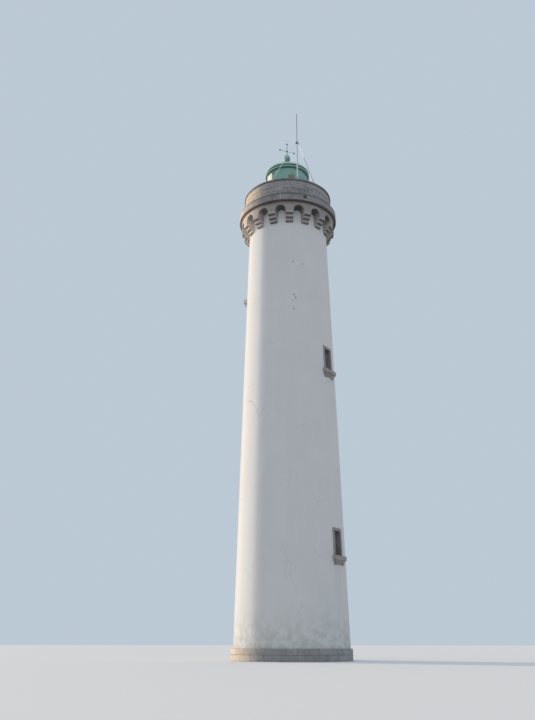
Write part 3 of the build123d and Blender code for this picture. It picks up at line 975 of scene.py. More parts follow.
@dataclass(frozen=True)
class GreenPaint:
    """Chalked sea-green paint on metal, with runs, dark edges and chips that show rust, and painted
    shade under the gutter and in its recess.
    """

    name: str = "green_paint"
    fresh_green: Colour = (0.165, 0.345, 0.300)
    chalk: Colour = (0.27, 0.46, 0.40)
    bleached: Colour = (0.52, 0.68, 0.58)
    grime_and_shade: Colour = (0.035, 0.085, 0.07)
    stain: Colour = (0.035, 0.085, 0.11)
    rust: Colour = (0.13, 0.055, 0.025)
    bloom: Colour = (0.20, 0.15, 0.09)

    def material(self) -> bpy.types.Material:
        """Builds the material."""
        paint = fresh(self.name)
        level, floor, head, bulb = paint.xyz[2], Lantern.floor, Lantern.head, Lantern.neck_top
        clouds, fine = paint.noise(1.6, 6.0), paint.noise(26.0, 4.0)
        runs = paint.noise(9.0, 4.0, (1.0, 1.0, 0.10))
        # Painted shadow under the gutter, reaching further down the drum on its right.
        shade = paint.azimuth.band(38.0, 68.0, 90.0, 115.0) * 0.17
        soffit = (level + shade).rise(head - 0.03, head - 0.01)
        soffit = soffit * level.rise(head + 0.10, head + 0.08)
        # Painted shade in the gutter's recess.
        recess = level.band(head + 0.20, head + 0.215, head + 0.31, head + 0.335)
        # The roof is painted paler: faded paint, and painted light on its top.
        crown = level.band(head + 0.33, head + 0.35, head + 1.15, head + 1.25)
        # The ventilator's bulb is darker just above its neck, less higher up.
        belly = level.rise(bulb - 0.02, bulb + 0.04) * (0.30 + 0.3 * level.rise(bulb + 0.3, bulb))
        foot = level.rise(floor + 0.26, floor + 0.02) * fine.rise(0.3, 0.6)
        flaking = paint.noise(5.0, 8.0) * 0.6 + fine * 0.4
        chips = flaking.rise(0.635, 0.665)
        colour = paint.coats(
            paint.mix(clouds.rise(0.34, 0.68) * 0.40 + fine * 0.10, self.fresh_green, self.chalk),
            (runs.rise(0.56, 0.78) * 0.35, self.grime_and_shade),
            # Painted shade under the gutter and in its recess.
            ((soffit | recess) * 0.80, self.grime_and_shade),
            (crown * 0.75, self.bleached),
            # A dark bluish patch on the drum's left, under the gutter.
            (paint.apart(-43.0, 7.0, head - 0.19, 0.19).rise(1.3, 0.6) * 0.55, self.stain),
            (belly, self.grime_and_shade),
            (foot * 0.5, self.grime_and_shade),
            (flaking.rise(0.60, 0.66) * 0.4, self.bloom),
            (chips, paint.shaded(self.rust, 0.6 + 0.8 * fine)))
        brush = paint.noise(40.0, 3.0, (1.0, 1.0, 0.2))
        height = brush * 0.35 + clouds * 0.3 + (1.0 - chips) * 0.35
        return paint.surface(paint.shader(
            Base_Color=colour, Roughness=0.42 + 0.18 * fine + 0.25 * chips,
            Specular_IOR_Level=0.45, Normal=paint.bump(height, 0.0025)))


@dataclass(frozen=True)
class Metal:
    """Weathered metal: a body colour, blooms of a second colour and a fine grain."""

    name: str
    body: Colour
    bloom: Colour
    spread: float
    metallic: float
    roughness: float

    def material(self) -> bpy.types.Material:
        """Builds the material."""
        paint = fresh(self.name)
        fine, clouds = paint.noise(90.0, 4.0), paint.noise(6.0, 6.0)
        share = (clouds * 0.7 + fine * 0.3).rise(0.66 - self.spread, 0.74 - self.spread * 0.6)
        return paint.surface(paint.shader(
            Base_Color=paint.shaded(paint.mix(share, self.body, self.bloom), 0.8 + 0.4 * fine),
            Metallic=self.metallic * (1.0 - share), Roughness=self.roughness + 0.3 * share,
            Normal=paint.bump(fine * 0.6 + share * 0.4, 0.0012)))


@dataclass(frozen=True)
class Glass:
    """Clear glass, a little wavy, with a film of salt and dust."""

    name: str = "clear_glass"
    tint: Colour = (0.86, 0.92, 0.92)
    film: Colour = (0.42, 0.45, 0.46)

    def material(self) -> bpy.types.Material:
        """Builds the material."""
        paint = fresh(self.name)
        clear = paint.shader(Base_Color=self.tint, Roughness=0.03, Transmission_Weight=1.0,
                             IOR=1.45, Normal=paint.bump(paint.noise(3.0, 2.0), 0.004, 0.5))
        dull = paint.shader(Base_Color=self.film, Roughness=0.6, Specular_IOR_Level=0.3)
        dust = paint.noise(7.0, 7.0).rise(0.40, 0.85) * 0.16 + 0.04
        return paint.surface(paint.add("ShaderNodeMixShader", None, {0: dust, 1: clear, 2: dull}))


@dataclass(frozen=True)
class Timber:
    """Painted boards: an upright grain, worn through here and there."""

    name: str
    coat: Colour
    worn: float
    bare: Colour = (0.25, 0.19, 0.14)

    def material(self) -> bpy.types.Material:
        """Builds the material."""
        paint = fresh(self.name)
        fibre, clouds = paint.noise(60.0, 5.0, (1.0, 1.0, 0.05)), paint.noise(4.0, 6.0)
        factor = 0.72 + 0.2 * paint.attribute("tone") + 0.25 * clouds + 0.15 * fibre
        bare = (clouds * 0.55 + fibre * 0.45).rise(0.66 - self.worn, 0.70 - self.worn)
        colour = paint.mix(bare, paint.shaded(self.coat, factor),
                           paint.shaded(self.bare, 0.6 + 0.8 * fibre))
        return paint.surface(paint.shader(
            Base_Color=colour, Roughness=0.45 + 0.3 * bare + 0.1 * fibre,
            Normal=paint.bump(fibre * 0.7 + (1.0 - bare) * 0.3, 0.0016)))


@dataclass(frozen=True)
class Sleeve:
    """White plastic, greyed by the elements."""

    name: str = "white_sleeve"
    white: Colour = (0.88, 0.92, 0.97)
    grey: Colour = (0.52, 0.51, 0.47)

    def material(self) -> bpy.types.Material:
        """Builds the material."""
        paint = fresh(self.name)
        clouds, fine = paint.noise(5.0, 5.0), paint.noise(80.0, 2.0)
        colour = paint.mix(clouds.rise(0.5, 0.75) * 0.3, self.white, self.grey)
        return paint.surface(paint.shader(Base_Color=colour, Roughness=0.5 + 0.15 * fine,
                                          Normal=paint.bump(fine, 0.0006)))


@dataclass(frozen=True)
class Screen:
    """A cream enamelled sheet, whose pale colour also stands in for sunlight on the lantern's left.
    """

    name: str = "cream_screen"
    cream: Colour = (0.76, 0.79, 0.66)

    def material(self) -> bpy.types.Material:
        """Builds the material."""
        paint = fresh(self.name)
        clouds = paint.noise(3.0, 5.0)
        colour = paint.shaded(self.cream, 0.88 + 0.2 * clouds)
        return paint.surface(paint.shader(Base_Color=colour, Roughness=0.45 + 0.1 * clouds,
                                          Normal=paint.bump(paint.noise(60.0, 3.0), 0.0008)))


FINISHES = (
    Limewash(), Granite(),
    # Each granite: a name, a shade colour, a painted sunlit colour and, for some, the crust's
    # share.
    Granite("head_stone", (0.285, 0.272, 0.262), (0.72, 0.62, 0.53)),
    Granite("cornice_stone", (0.21, 0.212, 0.222), (0.59, 0.51, 0.455), 0.60),
    Granite("coping_stone", (0.145, 0.146, 0.15), (0.44, 0.38, 0.33), 0.60),
    Granite("block_stone", (0.165, 0.14, 0.108), (0.30, 0.24, 0.20)),
    Mortar(), FloorStone(), GreenPaint(),
    Metal("dark_iron", (0.045, 0.05, 0.055), (0.10, 0.05, 0.03), 0.04, 0.6, 0.5),
    Metal("verdigris", (0.05, 0.065, 0.065), (0.10, 0.17, 0.15), 0.12, 0.4, 0.5),
    Metal("mast_metal", (0.50, 0.56, 0.60), (0.40, 0.42, 0.42), 0.10, 0.2, 0.45),
    # A pale copy of the stays' wire for the left stay, pale partly to stand in for light on it.
    Metal("pale_wire", (0.66, 0.72, 0.74), (0.50, 0.54, 0.54), 0.08, 0.0, 0.5),
    Metal("stay_wire", (0.22, 0.25, 0.28), (0.26, 0.27, 0.28), 0.08, 0.2, 0.5),
    Metal("mast_iron", (0.12, 0.13, 0.145), (0.16, 0.12, 0.10), 0.06, 0.3, 0.5),
    Metal("galvanized", (0.34, 0.37, 0.40), (0.20, 0.17, 0.14), 0.05, 0.3, 0.5),
    Glass(), Timber("door_paint", (0.045, 0.105, 0.085), 0.02),
    Timber("window_paint", (0.40, 0.41, 0.40), 0.04), Sleeve(), Screen())


@dataclass(frozen=True)
class Trade:
    """The work on one part of the tower, with the materials at hand by name."""

    looks: Looks

    def dress(self, slot: Slot, look: str, *nodes: str) -> None:
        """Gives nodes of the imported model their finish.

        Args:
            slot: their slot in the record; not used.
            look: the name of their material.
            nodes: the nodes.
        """
        for piece in (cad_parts[node] for node in nodes):
            if not piece.material_slots:
                piece.data.materials.append(self.looks[look])
            for place in piece.material_slots:
                place.material = self.looks[look]


@dataclass(frozen=True)
class Shaft(Trade):
    """The tapering wall and its coat, one piece a lift; one lift has chips and a finer grid."""

    lifts: int = 6
    coat: float = 0.012
    wall: float = 0.03
    unevenness: Pairs = ((0.0035, 1.7), (0.0025, 0.5), (0.0012, 0.21))
    chip_depth: float = 0.009
    under_cornice: float = 0.03
    window_margin: float = 0.09
    door_margin: float = 0.11
    door_middle: float = 1.8
    haze_seed: int = 11
    clearance: float = 0.35
    cell: float = 0.105
    fine_cell: float = 0.032
    fine_radius: float = 3.1
    fine_lift: int = 5
    fine_azimuths: Pairs = ((3.5, 12.5), (19.0, 20.8))
    fine_levels: Pairs = ((22.0, 23.5), (25.6, 26.0))
    chips: tuple[tuple[float, float, float, float], ...] = (
        (7.2, 23.28, 0.060, 0.07), (9.4, 23.01, 0.045, 0.10), (5.9, 22.84, 0.04, 0.05),
        (6.9, 22.23, 0.055, 0.075), (8.0, 23.13, 0.025, 0.04), (6.3, 25.84, 0.05, 0.065),
        (19.6, 25.71, 0.045, 0.06))

    def radius(self, level: np.ndarray) -> np.ndarray:
        """The radius of the wall's face, on the straight line from the wall's foot to its top.

        Args:
            level: one level or more.

        Returns:
            The radius at each.
        """
        first, last = "shaft_lift_1", "shaft_lift_%d" % self.lifts
        low, high = levels(first)[0], levels(last)[1]
        foot, head = reach(first, high=low + 0.01), reach(last, high - 0.01)
        return foot + (head - foot) * (level - low) / (high - low)

    def stations(self, low: float, high: float, cell: float, fixed: list[float]) -> np.ndarray:
        """Even stations with fixed ones put in, and the even ones too near to those left out.

        Args:
            low: the first station.
            high: the last.
            cell: the distance between even stations.
            fixed: the stations that have to be there.

        Returns:
            The stations in order.
        """
        even = np.linspace(low, high, max(int(round((high - low) / cell)), 1) + 1)
        inside = np.array([place for place in fixed if low < place < high])
        if inside.size:
            clear = np.abs(even[:, None] - inside).min(axis=1) > cell * self.clearance
            clear[[0, -1]] = True
            even = np.concatenate((even[clear], inside))
        return np.unique(even)

    def openings(self, number: int, low: float, high: float) -> list[tuple[float, ...]]:
        """The openings in a lift, each with its surround.

        Args:
            number: the number of the lift.
            low: its lowest level.
            high: its highest level.

        Returns:
            The azimuth, half the turn, the lowest and the highest level of each.
        """
        tall = Windows.height
        found = [(place, Windows.width, sill + tall / 2, sill, sill + tall, self.window_margin)
                 for place, sill in Windows.places if low < sill < high]
        if number == 1:
            found.append((Door.azimuth, Door.width, self.door_middle, low - 0.01,
                          Door.sill + Door.height, self.door_margin))
        return [(place, math.degrees(math.asin((width / 2 + margin) / self.radius(middle))),
                 bottom, top + margin) for place, width, middle, bottom, top, margin in found]

    def bareness(self, face: np.ndarray, azimuth: np.ndarray, level: np.ndarray,
                 haze: Haze) -> np.ndarray:
        """How bare the wall is: ragged ovals round the chips.

        Args:
            face: the points on the wall's face.
            azimuth: their azimuths.
            level: their levels.
            haze: the noise that makes the ovals ragged.

        Returns:
            A share for each point.
        """
        bare = np.zeros_like(level)
        ragged = 0.45 * haze.at(face, 0.05) + 0.3 * haze.at(face, 0.13)
        for place, height, half, tall in self.chips:
            across = np.radians(turn_from(place, azimuth)) * self.radius(level)
            away = np.hypot(across / half, (level - height) / tall)
            bare = np.maximum(bare, np.clip(1.6 - away + ragged, 0.0, 1.0) * (away < 2.2))
        return bare

    def lift(self, number: int, low: float, high: float) -> None:
        """Builds the coat of one lift: a grid in azimuth and level, its openings left out.

        Args:
            number: the number of the lift.
            low: its lowest level.
            high: its highest level.
        """
        holes = self.openings(number, low, high)
        rims = [level for hole in holes for level in hole[2:]]
        jambs = [hole[0] % 360.0 + side * hole[1] for hole in holes for side in (-1, 1)]
        if number == self.fine_lift:
            step = math.degrees(self.fine_cell / self.fine_radius)
            rims += [z for ends in self.fine_levels for z in np.arange(*ends, self.fine_cell)]
            jambs += [a for ends in self.fine_azimuths for a in np.arange(*ends, step)]
        z = self.stations(low, high, self.cell, rims)
        a = self.stations(0.0, 360.0, math.degrees(self.cell / self.radius(0.0)), jambs)[:-1]
        azimuth, level = np.meshgrid(a, z)
        face, haze = polar(self.radius(level), azimuth, level), Haze(self.haze_seed)
        uneven = sum(depth * haze.at(face, size) for depth, size in self.unevenness)
        bare = self.bareness(face, azimuth, level, haze)
        depth = self.coat + uneven - self.chip_depth * np.clip((bare - 0.3) / 0.3, 0.0, 1.0)
        index = np.arange(level.size).reshape(level.shape)
        beside = np.roll(index, -1, axis=1)
        quads = np.stack((index[:-1], beside[:-1], beside[1:], index[1:]), axis=-1)
        middle_a, middle_z = np.meshgrid(a + np.diff(np.append(a, 360.0)) / 2.0,
                                         (z[1:] + z[:-1]) / 2.0)
        keep = np.ones(middle_a.shape, bool)
        for place, half, bottom, top in holes:
            beyond = np.abs(turn_from(place, middle_a)) >= half
            keep &= beyond | (middle_z <= bottom) | (middle_z >= top)
        lot = Lot().add((polar(self.radius(level) + depth, azimuth, level), [quads[keep]]))
        piece = lot.piece("coat_lift_%d" % number, Slot.RENDER, self.looks["limewash"],
                          closed=False)
        carry(piece.data, "bare", bare)
        wall = piece.modifiers.new("coat", "SOLIDIFY")
        wall.thickness, wall.offset = self.wall, -1.0

    def build(self) -> None:
        """Dresses the lifts and gives each its coat."""
        for number in range(1, self.lifts + 1):
            node = "shaft_lift_%d" % number
            low, high = levels(node)
            self.dress(Slot.RENDER, "limewash", node)
            self.lift(number, low, min(high, Stonework.cornice_low - self.under_cornice))


@dataclass(frozen=True)
class StoneRing:
    """A ring of worn stones."""

    profile: np.ndarray
    count: int
    turn: float
    seed: int
    joint: float = 0.010
    bevel: float = 0.012
    spacing: float = 0.085
    uneven: float = 0.004

    def stones(self) -> tuple[np.ndarray, np.ndarray]:
        """The stones' loops and tones.

        Returns:
            Loops of shape (stones, stations, corners, 3), and tones that spread over them.
        """
        draw = np.random.default_rng(self.seed)
        steps = draw.uniform(0.90, 1.10, self.count)
        ends = self.turn + np.cumsum(steps) * 360.0 / steps.sum()
        starts = np.concatenate(((self.turn,), ends[:-1]))
        outline = dense(self.profile, self.spacing)
        stations = int(outline[:, 0].max() * TURN / self.count / self.spacing) + 3
        loops = arc_blocks(outline, starts, ends, stations, self.joint, self.bevel)
        loops = Haze(self.seed).worn(loops, 0.32, self.uneven)
        shift = draw.uniform(-1.0, 1.0, (self.count, 1, 1, 1)) * 0.0035
        loops = loops - np.abs(shift) * unit(loops * (1.0, 1.0, 0.0))
        return loops, draw.uniform(0.0, 1.0, (self.count, 1, 1))


@dataclass(frozen=True)
class Stonework(Trade):
    """The plinth, corbels, frieze, cornice, parapet, coping, floors and steps."""

    plinth_radius: float = reach("plinth")
    plinth_top: float = levels("plinth")[1]
    plinth_joint: float = 0.36
    well_radius: float = reach("ground_floor")
    corbels: float = levels("corbels_lower")[0]
    corbel_turn: float = 22.5
    first_corbel: float = 2.5
    frieze_low: float = levels("frieze")[0]
    frieze_radius: float = reach("frieze")
    cornice_radius: float = reach("cornice")
    cornice_low: float = levels("cornice")[0]
    cove: float = 0.08
    dent: tuple[float, float, float] = (20.5, 30.74, 0.085)
    dent_depth: float = 0.011
    bed_segments: int = 192
    gallery: float = levels("parapet")[0]
    coping_low: float = levels("parapet")[1]
    coping_top: float = levels("coping")[1]
    parapet_out: float = reach("parapet")
    parapet_in: float = parapet_out - 0.300
    flags_near: float = 1.575
    worn: tuple[tuple[str, str, float, int], ...] = (
        ("corbels_lower", "head_stone", 0.014, 71), ("corbels_middle", "head_stone", 0.014, 72),
        ("corbels_upper", "head_stone", 0.014, 73), ("frieze", "head_stone", 0.012, 75),
        ("coping_block", "block_stone", 0.02, 76), ("door_step_1", "granite", 0.018, 81),
        ("door_step_2", "granite", 0.018, 82), ("door_step_3", "granite", 0.018, 83),
        ("door_surround", "granite", 0.012, 84), ("window_surrounds", "granite", 0.010, 85),
        ("window_sills", "head_stone", 0.014, 86))

    def raise_ring(self, node: str, look: str, core: np.ndarray, *rings: StoneRing,
                   dent: tuple[float, float, float] | None = None) -> None:
        """Builds rings of stones in place of a node, and the mortar in their core.

        Args:
            node: the node that the stones stand for.
            look: the name of the stones' material.
            core: the core's closed profile.
            rings: the courses of stones.
            dent: the azimuth, level and radius of a hollow in a stone's face.
        """
        lot = Lot()
        for course in rings:
            loops, tones = course.stones()
            if dent:
                centre = polar(course.profile[:, 0].max(), *dent[:2])
                away = np.linalg.norm(loops - centre, axis=-1, keepdims=True) / dent[2]
                hollow = self.dent_depth * np.clip(1.25 - away ** 2, 0.0, 1.0)
                loops = loops - hollow * unit(centre * (1, 1, 0))
            lot.add(skin(loops), tones)
        lot.piece(node + "_stones", Slot.GRANITE, self.looks[look], (node,))
        Lot().add(ring(core, self.bed_segments)).piece(node + "_stones_bed", Slot.GRANITE,
                                                       self.looks["mortar"])

    def plinth(self) -> None:
        """Two courses of heavy stones, the upper one with a cut top edge."""
        out, top = self.plinth_radius - 0.007, self.plinth_top
        near, low, high = out - 0.31, self.plinth_joint - 0.004, self.plinth_joint + 0.004
        lower = rounded([(near, 0.006), (out, 0.006), (out, low), (near, low)],
                        [0.01, 0.012, 0.016, 0.01])
        upper = rounded([(near, high), (out, high), (out, top - 0.004), (near, top - 0.004)],
                        [0.01, 0.016, 0.045, 0.01])
        core = rectangle(self.well_radius - 0.14, self.plinth_radius - 0.022, 0.0, top - 0.012,
                         0.01)
        self.raise_ring("plinth", "granite", core, StoneRing(lower, 24, 3.0, 21, uneven=0.005),
                        StoneRing(upper, 24, 10.5, 22, uneven=0.005))

    def cornice(self) -> None:
        """One course with a cove under its face and a cut top edge."""
        low, high, out = self.cornice_low, self.gallery, self.cornice_radius - 0.002
        angle = np.linspace(0.0, math.pi / 2.0, 6)
        cove = np.stack((out - self.cove * np.cos(angle),
                         low + 0.003 + self.cove * (1.0 - np.sin(angle))), axis=-1)
        outline = np.concatenate(([(out - 0.38, low + 0.003)], cove, [
            (out, high - 0.037), (out - 0.036, high - 0.002), (out - 0.46, high - 0.002),
            (out - 0.46, low + 0.06)]))
        core = rectangle(out - 0.59, out - 0.016, low + 0.10, high - 0.016, 0.02)
        self.raise_ring("cornice", "cornice_stone", core, StoneRing(
            outline, 32, 5.6, 31, 0.007, 0.008, 0.06, 0.003), dent=self.dent)

    def parapet(self) -> None:
        """Three courses of stones as thick as the wall."""
        near, out = self.parapet_in + 0.002, self.parapet_out - 0.002
        edges = np.linspace(self.gallery, self.coping_low, 4)
        rings = [StoneRing(rounded([(near, low + 0.003), (out, low + 0.003), (out, high - 0.003),
                                    (near, high - 0.003)], [0.010] * 4),
                           18, 4.0 + 9.0 * (row % 2), 41 + row, 0.008, 0.009, uneven=0.003)
                 for row, (low, high) in enumerate(zip(edges[:-1], edges[1:]))]
        core = rectangle(near + 0.012, out - 0.012, self.gallery, self.coping_low, 0.003)
        self.raise_ring("parapet", "granite", core, *rings)

    def coping(self) -> None:
        """Rounded stones that overhang the parapet on both sides."""
        first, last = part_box("coping")
        near, out = self.parapet_in - 0.068, min(-first.x, last.x) - 0.002
        low, high = self.coping_low + 0.002, self.coping_top - 0.002
        outline = rounded([(near, low), (out, low), (out, high), (near, high)],
                          [0.015, 0.015, 0.05, 0.05])
        core = rectangle(near + 0.02, out - 0.02, low + 0.01, high - 0.014, 0.01)
        self.raise_ring("coping", "coping_stone", core,
                        StoneRing(outline, 22, 1.0, 51, 0.008, 0.010, 0.06))

    def flags(self) -> None:
        """Radial flags on the gallery floor, between the lantern and the parapet."""
        outline = rectangle(self.flags_near, self.parapet_in - 0.006, self.gallery - 0.02,
                            self.gallery + 0.014, 0.004)
        loops, tones = StoneRing(outline, 20, 3.0, 61, 0.012, 0.006, 0.16, 0.002).stones()
        Lot().add(skin(loops), tones).piece("gallery_flags", Slot.FLOOR, self.looks["floor_stone"])

    def pointing(self) -> None:
        """Raised mortar in the joints of the frieze, one above each arch."""
        lot, near = Lot(), self.frieze_radius
        low, high = self.cornice_low - 0.18, self.cornice_low - 0.005
        for index in range(16):
            view = Facing(self.first_corbel + self.corbel_turn * (index + 0.5))
            lot.add(view.slab((-0.005, near - 0.05, low), (0.005, near + 0.0025, high), 0.0015),
                    0.4)
        lot.piece("frieze_pointing", Slot.GRANITE, self.looks["mortar"])

    def build(self) -> None:
        """Builds all the stonework."""
        self.plinth()
        for node, look, width, seed in self.worn:
            worn_copy(node, self.looks[look], width, seed)
        self.pointing()
        self.cornice()
        self.parapet()
        self.coping()
        self.flags()
        self.dress(Slot.FLOOR, "floor_stone", "ground_floor", "gallery_floor")


@dataclass(frozen=True)
class Windows(Trade):
    """The joinery of the four windows."""

    places: Pairs = window_places()
    width: float = 0.75
    height: float = 1.5
    stile: float = 0.042
    bar: float = 0.024
    hinge: Pairs = pin(0.08, 0.008, 0.005, 0.002)

    def sashes(self, azimuth: float, sill: float, wood: Lot, metal: Lot) -> None:
        """Two casements with three panes each, a meeting bead, a rain bar, hinges and a catch.

        Args:
            azimuth: the window's azimuth.
            sill: the level of its sill.
            wood: the lot that takes the wood.
            metal: the lot that takes the ironwork.
        """
        view = Facing(azimuth)
        local = view.read(node_points("window_panes"))
        pane = local[(np.abs(local[:, 0]) < 0.6) & (np.abs(local[:, 2] - sill - 0.75) < 1.0)
                     & (local[:, 1] > 0)]
        (left, back, bottom), (right, face, top) = pane.min(axis=0), pane.max(axis=0)
        back, face, half = back - 0.018, face + 0.022, self.bar / 2
        for low_x, high_x in ((left, -0.004), (0.004, right)):
            members = [((low_x, back, bottom), (low_x + self.stile, face, top)),
                       ((high_x - self.stile, back, bottom), (high_x, face, top)),
                       ((low_x, back, bottom), (high_x, face, bottom + self.stile * 1.4)),
                       ((low_x, back, top - self.stile), (high_x, face, top))]
            members += [((low_x, back + 0.004, level - half), (high_x, face - 0.006, level + half))
                        for level in np.linspace(bottom, top, 4)[1:3]]
            low, high = (np.array(corners) for corners in zip(*members))
            wood.add(view.slab(low, high, 0.004), 0.6)
        wood.add(view.slab((-0.018, face - 0.004, bottom), (0.018, face + 0.009, top), 0.004), 0.4)
        wood.add(view.slab((left, face - 0.004, bottom + 0.004),
                           (right, face + 0.022, bottom + 0.028), 0.006), 0.4)
        starts = [(side, face + 0.006, level) for side in (left - 0.004, right + 0.004)
                  for level in (bottom + 0.12, top - 0.20)]
        metal.add(turned(view.place(starts), UP, self.hinge, 8))
        middle = (bottom + top) / 2.0
        metal.add(view.slab((0.018, face - 0.003, middle - 0.05),
                            (0.036, face + 0.004, middle + 0.05), 0.001))

    def build(self) -> None:
        """Builds the joinery and dresses the frames and panes."""
        wood, metal = Lot(), Lot()
        for azimuth, sill in self.places:
            self.sashes(azimuth, sill, wood, metal)
        wood.piece("window_sashes", Slot.WOOD, self.looks["window_paint"])
        metal.piece("window_ironwork", Slot.WOOD, self.looks["dark_iron"])
        self.dress(Slot.WOOD, "window_paint", "window_frames")
        self.dress(Slot.GLASS, "clear_glass", "window_panes")


@dataclass(frozen=True)
class Door(Trade):
    """The boards and ironwork of the entrance door."""

    azimuth: float = azimuth_of(node_points("door_leaf").mean(axis=0))
    width: float = 1.0
    height: float = 2.2
    sill: float = Stonework.plinth_top
    boards: int = 6
    board: float = 0.018
    straps: tuple[float, float, float] = (0.35, 1.15, 1.95)
    tip: Pairs = ((0.0, 0.04), (0.006, 0.04), (0.008, 0.036))
    stud: Pairs = ((0.0, 0.011), (0.003, 0.010), (0.006, 0.006), (0.007, 0.001))
    hinge: Pairs = pin(0.10, 0.012, 0.008, 0.004)
    boss: Pairs = ((0.0, 0.022), (0.008, 0.020), (0.022, 0.012), (0.030, 0.004))
    keyhole: Pairs = ((0.0, 0.012), (0.004, 0.011), (0.005, 0.006))
    lock: float = 0.40
    hoop: float = 0.052
    wire: float = 0.007

    def planks(self, view: Facing, face: float) -> None:
        """Boards with cut edges on the leaf.

        Args:
            view: the reference at the door.
            face: how far out the leaf's face is.
        """
        edges = np.linspace(-self.width / 2 + 0.004, self.width / 2 - 0.004, self.boards + 1)
        low = [(edge + 0.0015, face - 0.006, self.sill + 0.012) for edge in edges[:-1]]
        high = [(edge - 0.0015, face + self.board, self.sill + self.height - 0.006)
                for edge in edges[1:]]
        tones = np.random.default_rng(7).uniform(0.2, 0.9, (self.boards, 1, 1))
        Lot().add(view.slab(low, high, 0.006), tones).piece("door_boards", Slot.WOOD,
                                                            self.looks["door_paint"])

    def ironwork(self, view: Facing, front: float) -> None:
        """Strap hinges with studs, a kick plate, a lock plate with its keyhole and a ring handle.

        Args:
            view: the reference at the door.
            front: how far out the boards' face is.
        """
        metal, sill = Lot(), self.sill
        for level in (sill + strap for strap in self.straps):
            metal.add(view.slab((-0.47, front - 0.001, level - 0.028),
                                (0.30, front + 0.007, level + 0.028), 0.002))
            metal.add(view.stud((0.31, front - 0.001, level), self.tip, 16))
            heads = np.linspace((-0.42, front + 0.006, level), (0.24, front + 0.006, level), 6)
            metal.add(view.stud(heads, self.stud, 10))
            metal.add(turned(view.place((-0.485, front - 0.004, level - 0.05)), UP, self.hinge, 12))
        metal.add(view.slab((-0.49, front - 0.002, sill + 0.02),
                            (0.49, front + 0.003, sill + 0.20), 0.001))
        metal.add(view.slab((self.lock - 0.04, front - 0.002, sill + 0.92),
                            (self.lock + 0.04, front + 0.005, sill + 1.16), 0.002))
        angle, tube = (np.arange(28) * TURN / 28)[:, None], np.arange(8) * TURN / 8
        away = self.hoop + self.wire * np.cos(tube)
        out = front + 0.020 + self.wire * np.sin(tube) + 0.0 * angle
        hoop = np.stack((self.lock + away * np.sin(angle), out, sill + 1.03 - away * np.cos(angle)),
                        axis=-1)
        metal.add(skin(view.place(hoop), closed=True))
        metal.add(view.stud((self.lock, front + 0.002, sill + 1.085), self.boss, 16))
        metal.add(view.stud((self.lock, front + 0.004, sill + 0.955), self.keyhole, 14))
        metal.piece("door_ironwork", Slot.WOOD, self.looks["dark_iron"])

    def build(self) -> None:
        """Builds the boards and the ironwork and dresses the leaf."""
        view = Facing(self.azimuth)
        face = float(view.read(node_points("door_leaf"))[:, 1].max())
        self.planks(view, face)
        self.ironwork(view, face + self.board)
        self.dress(Slot.WOOD, "door_paint", "door_leaf")


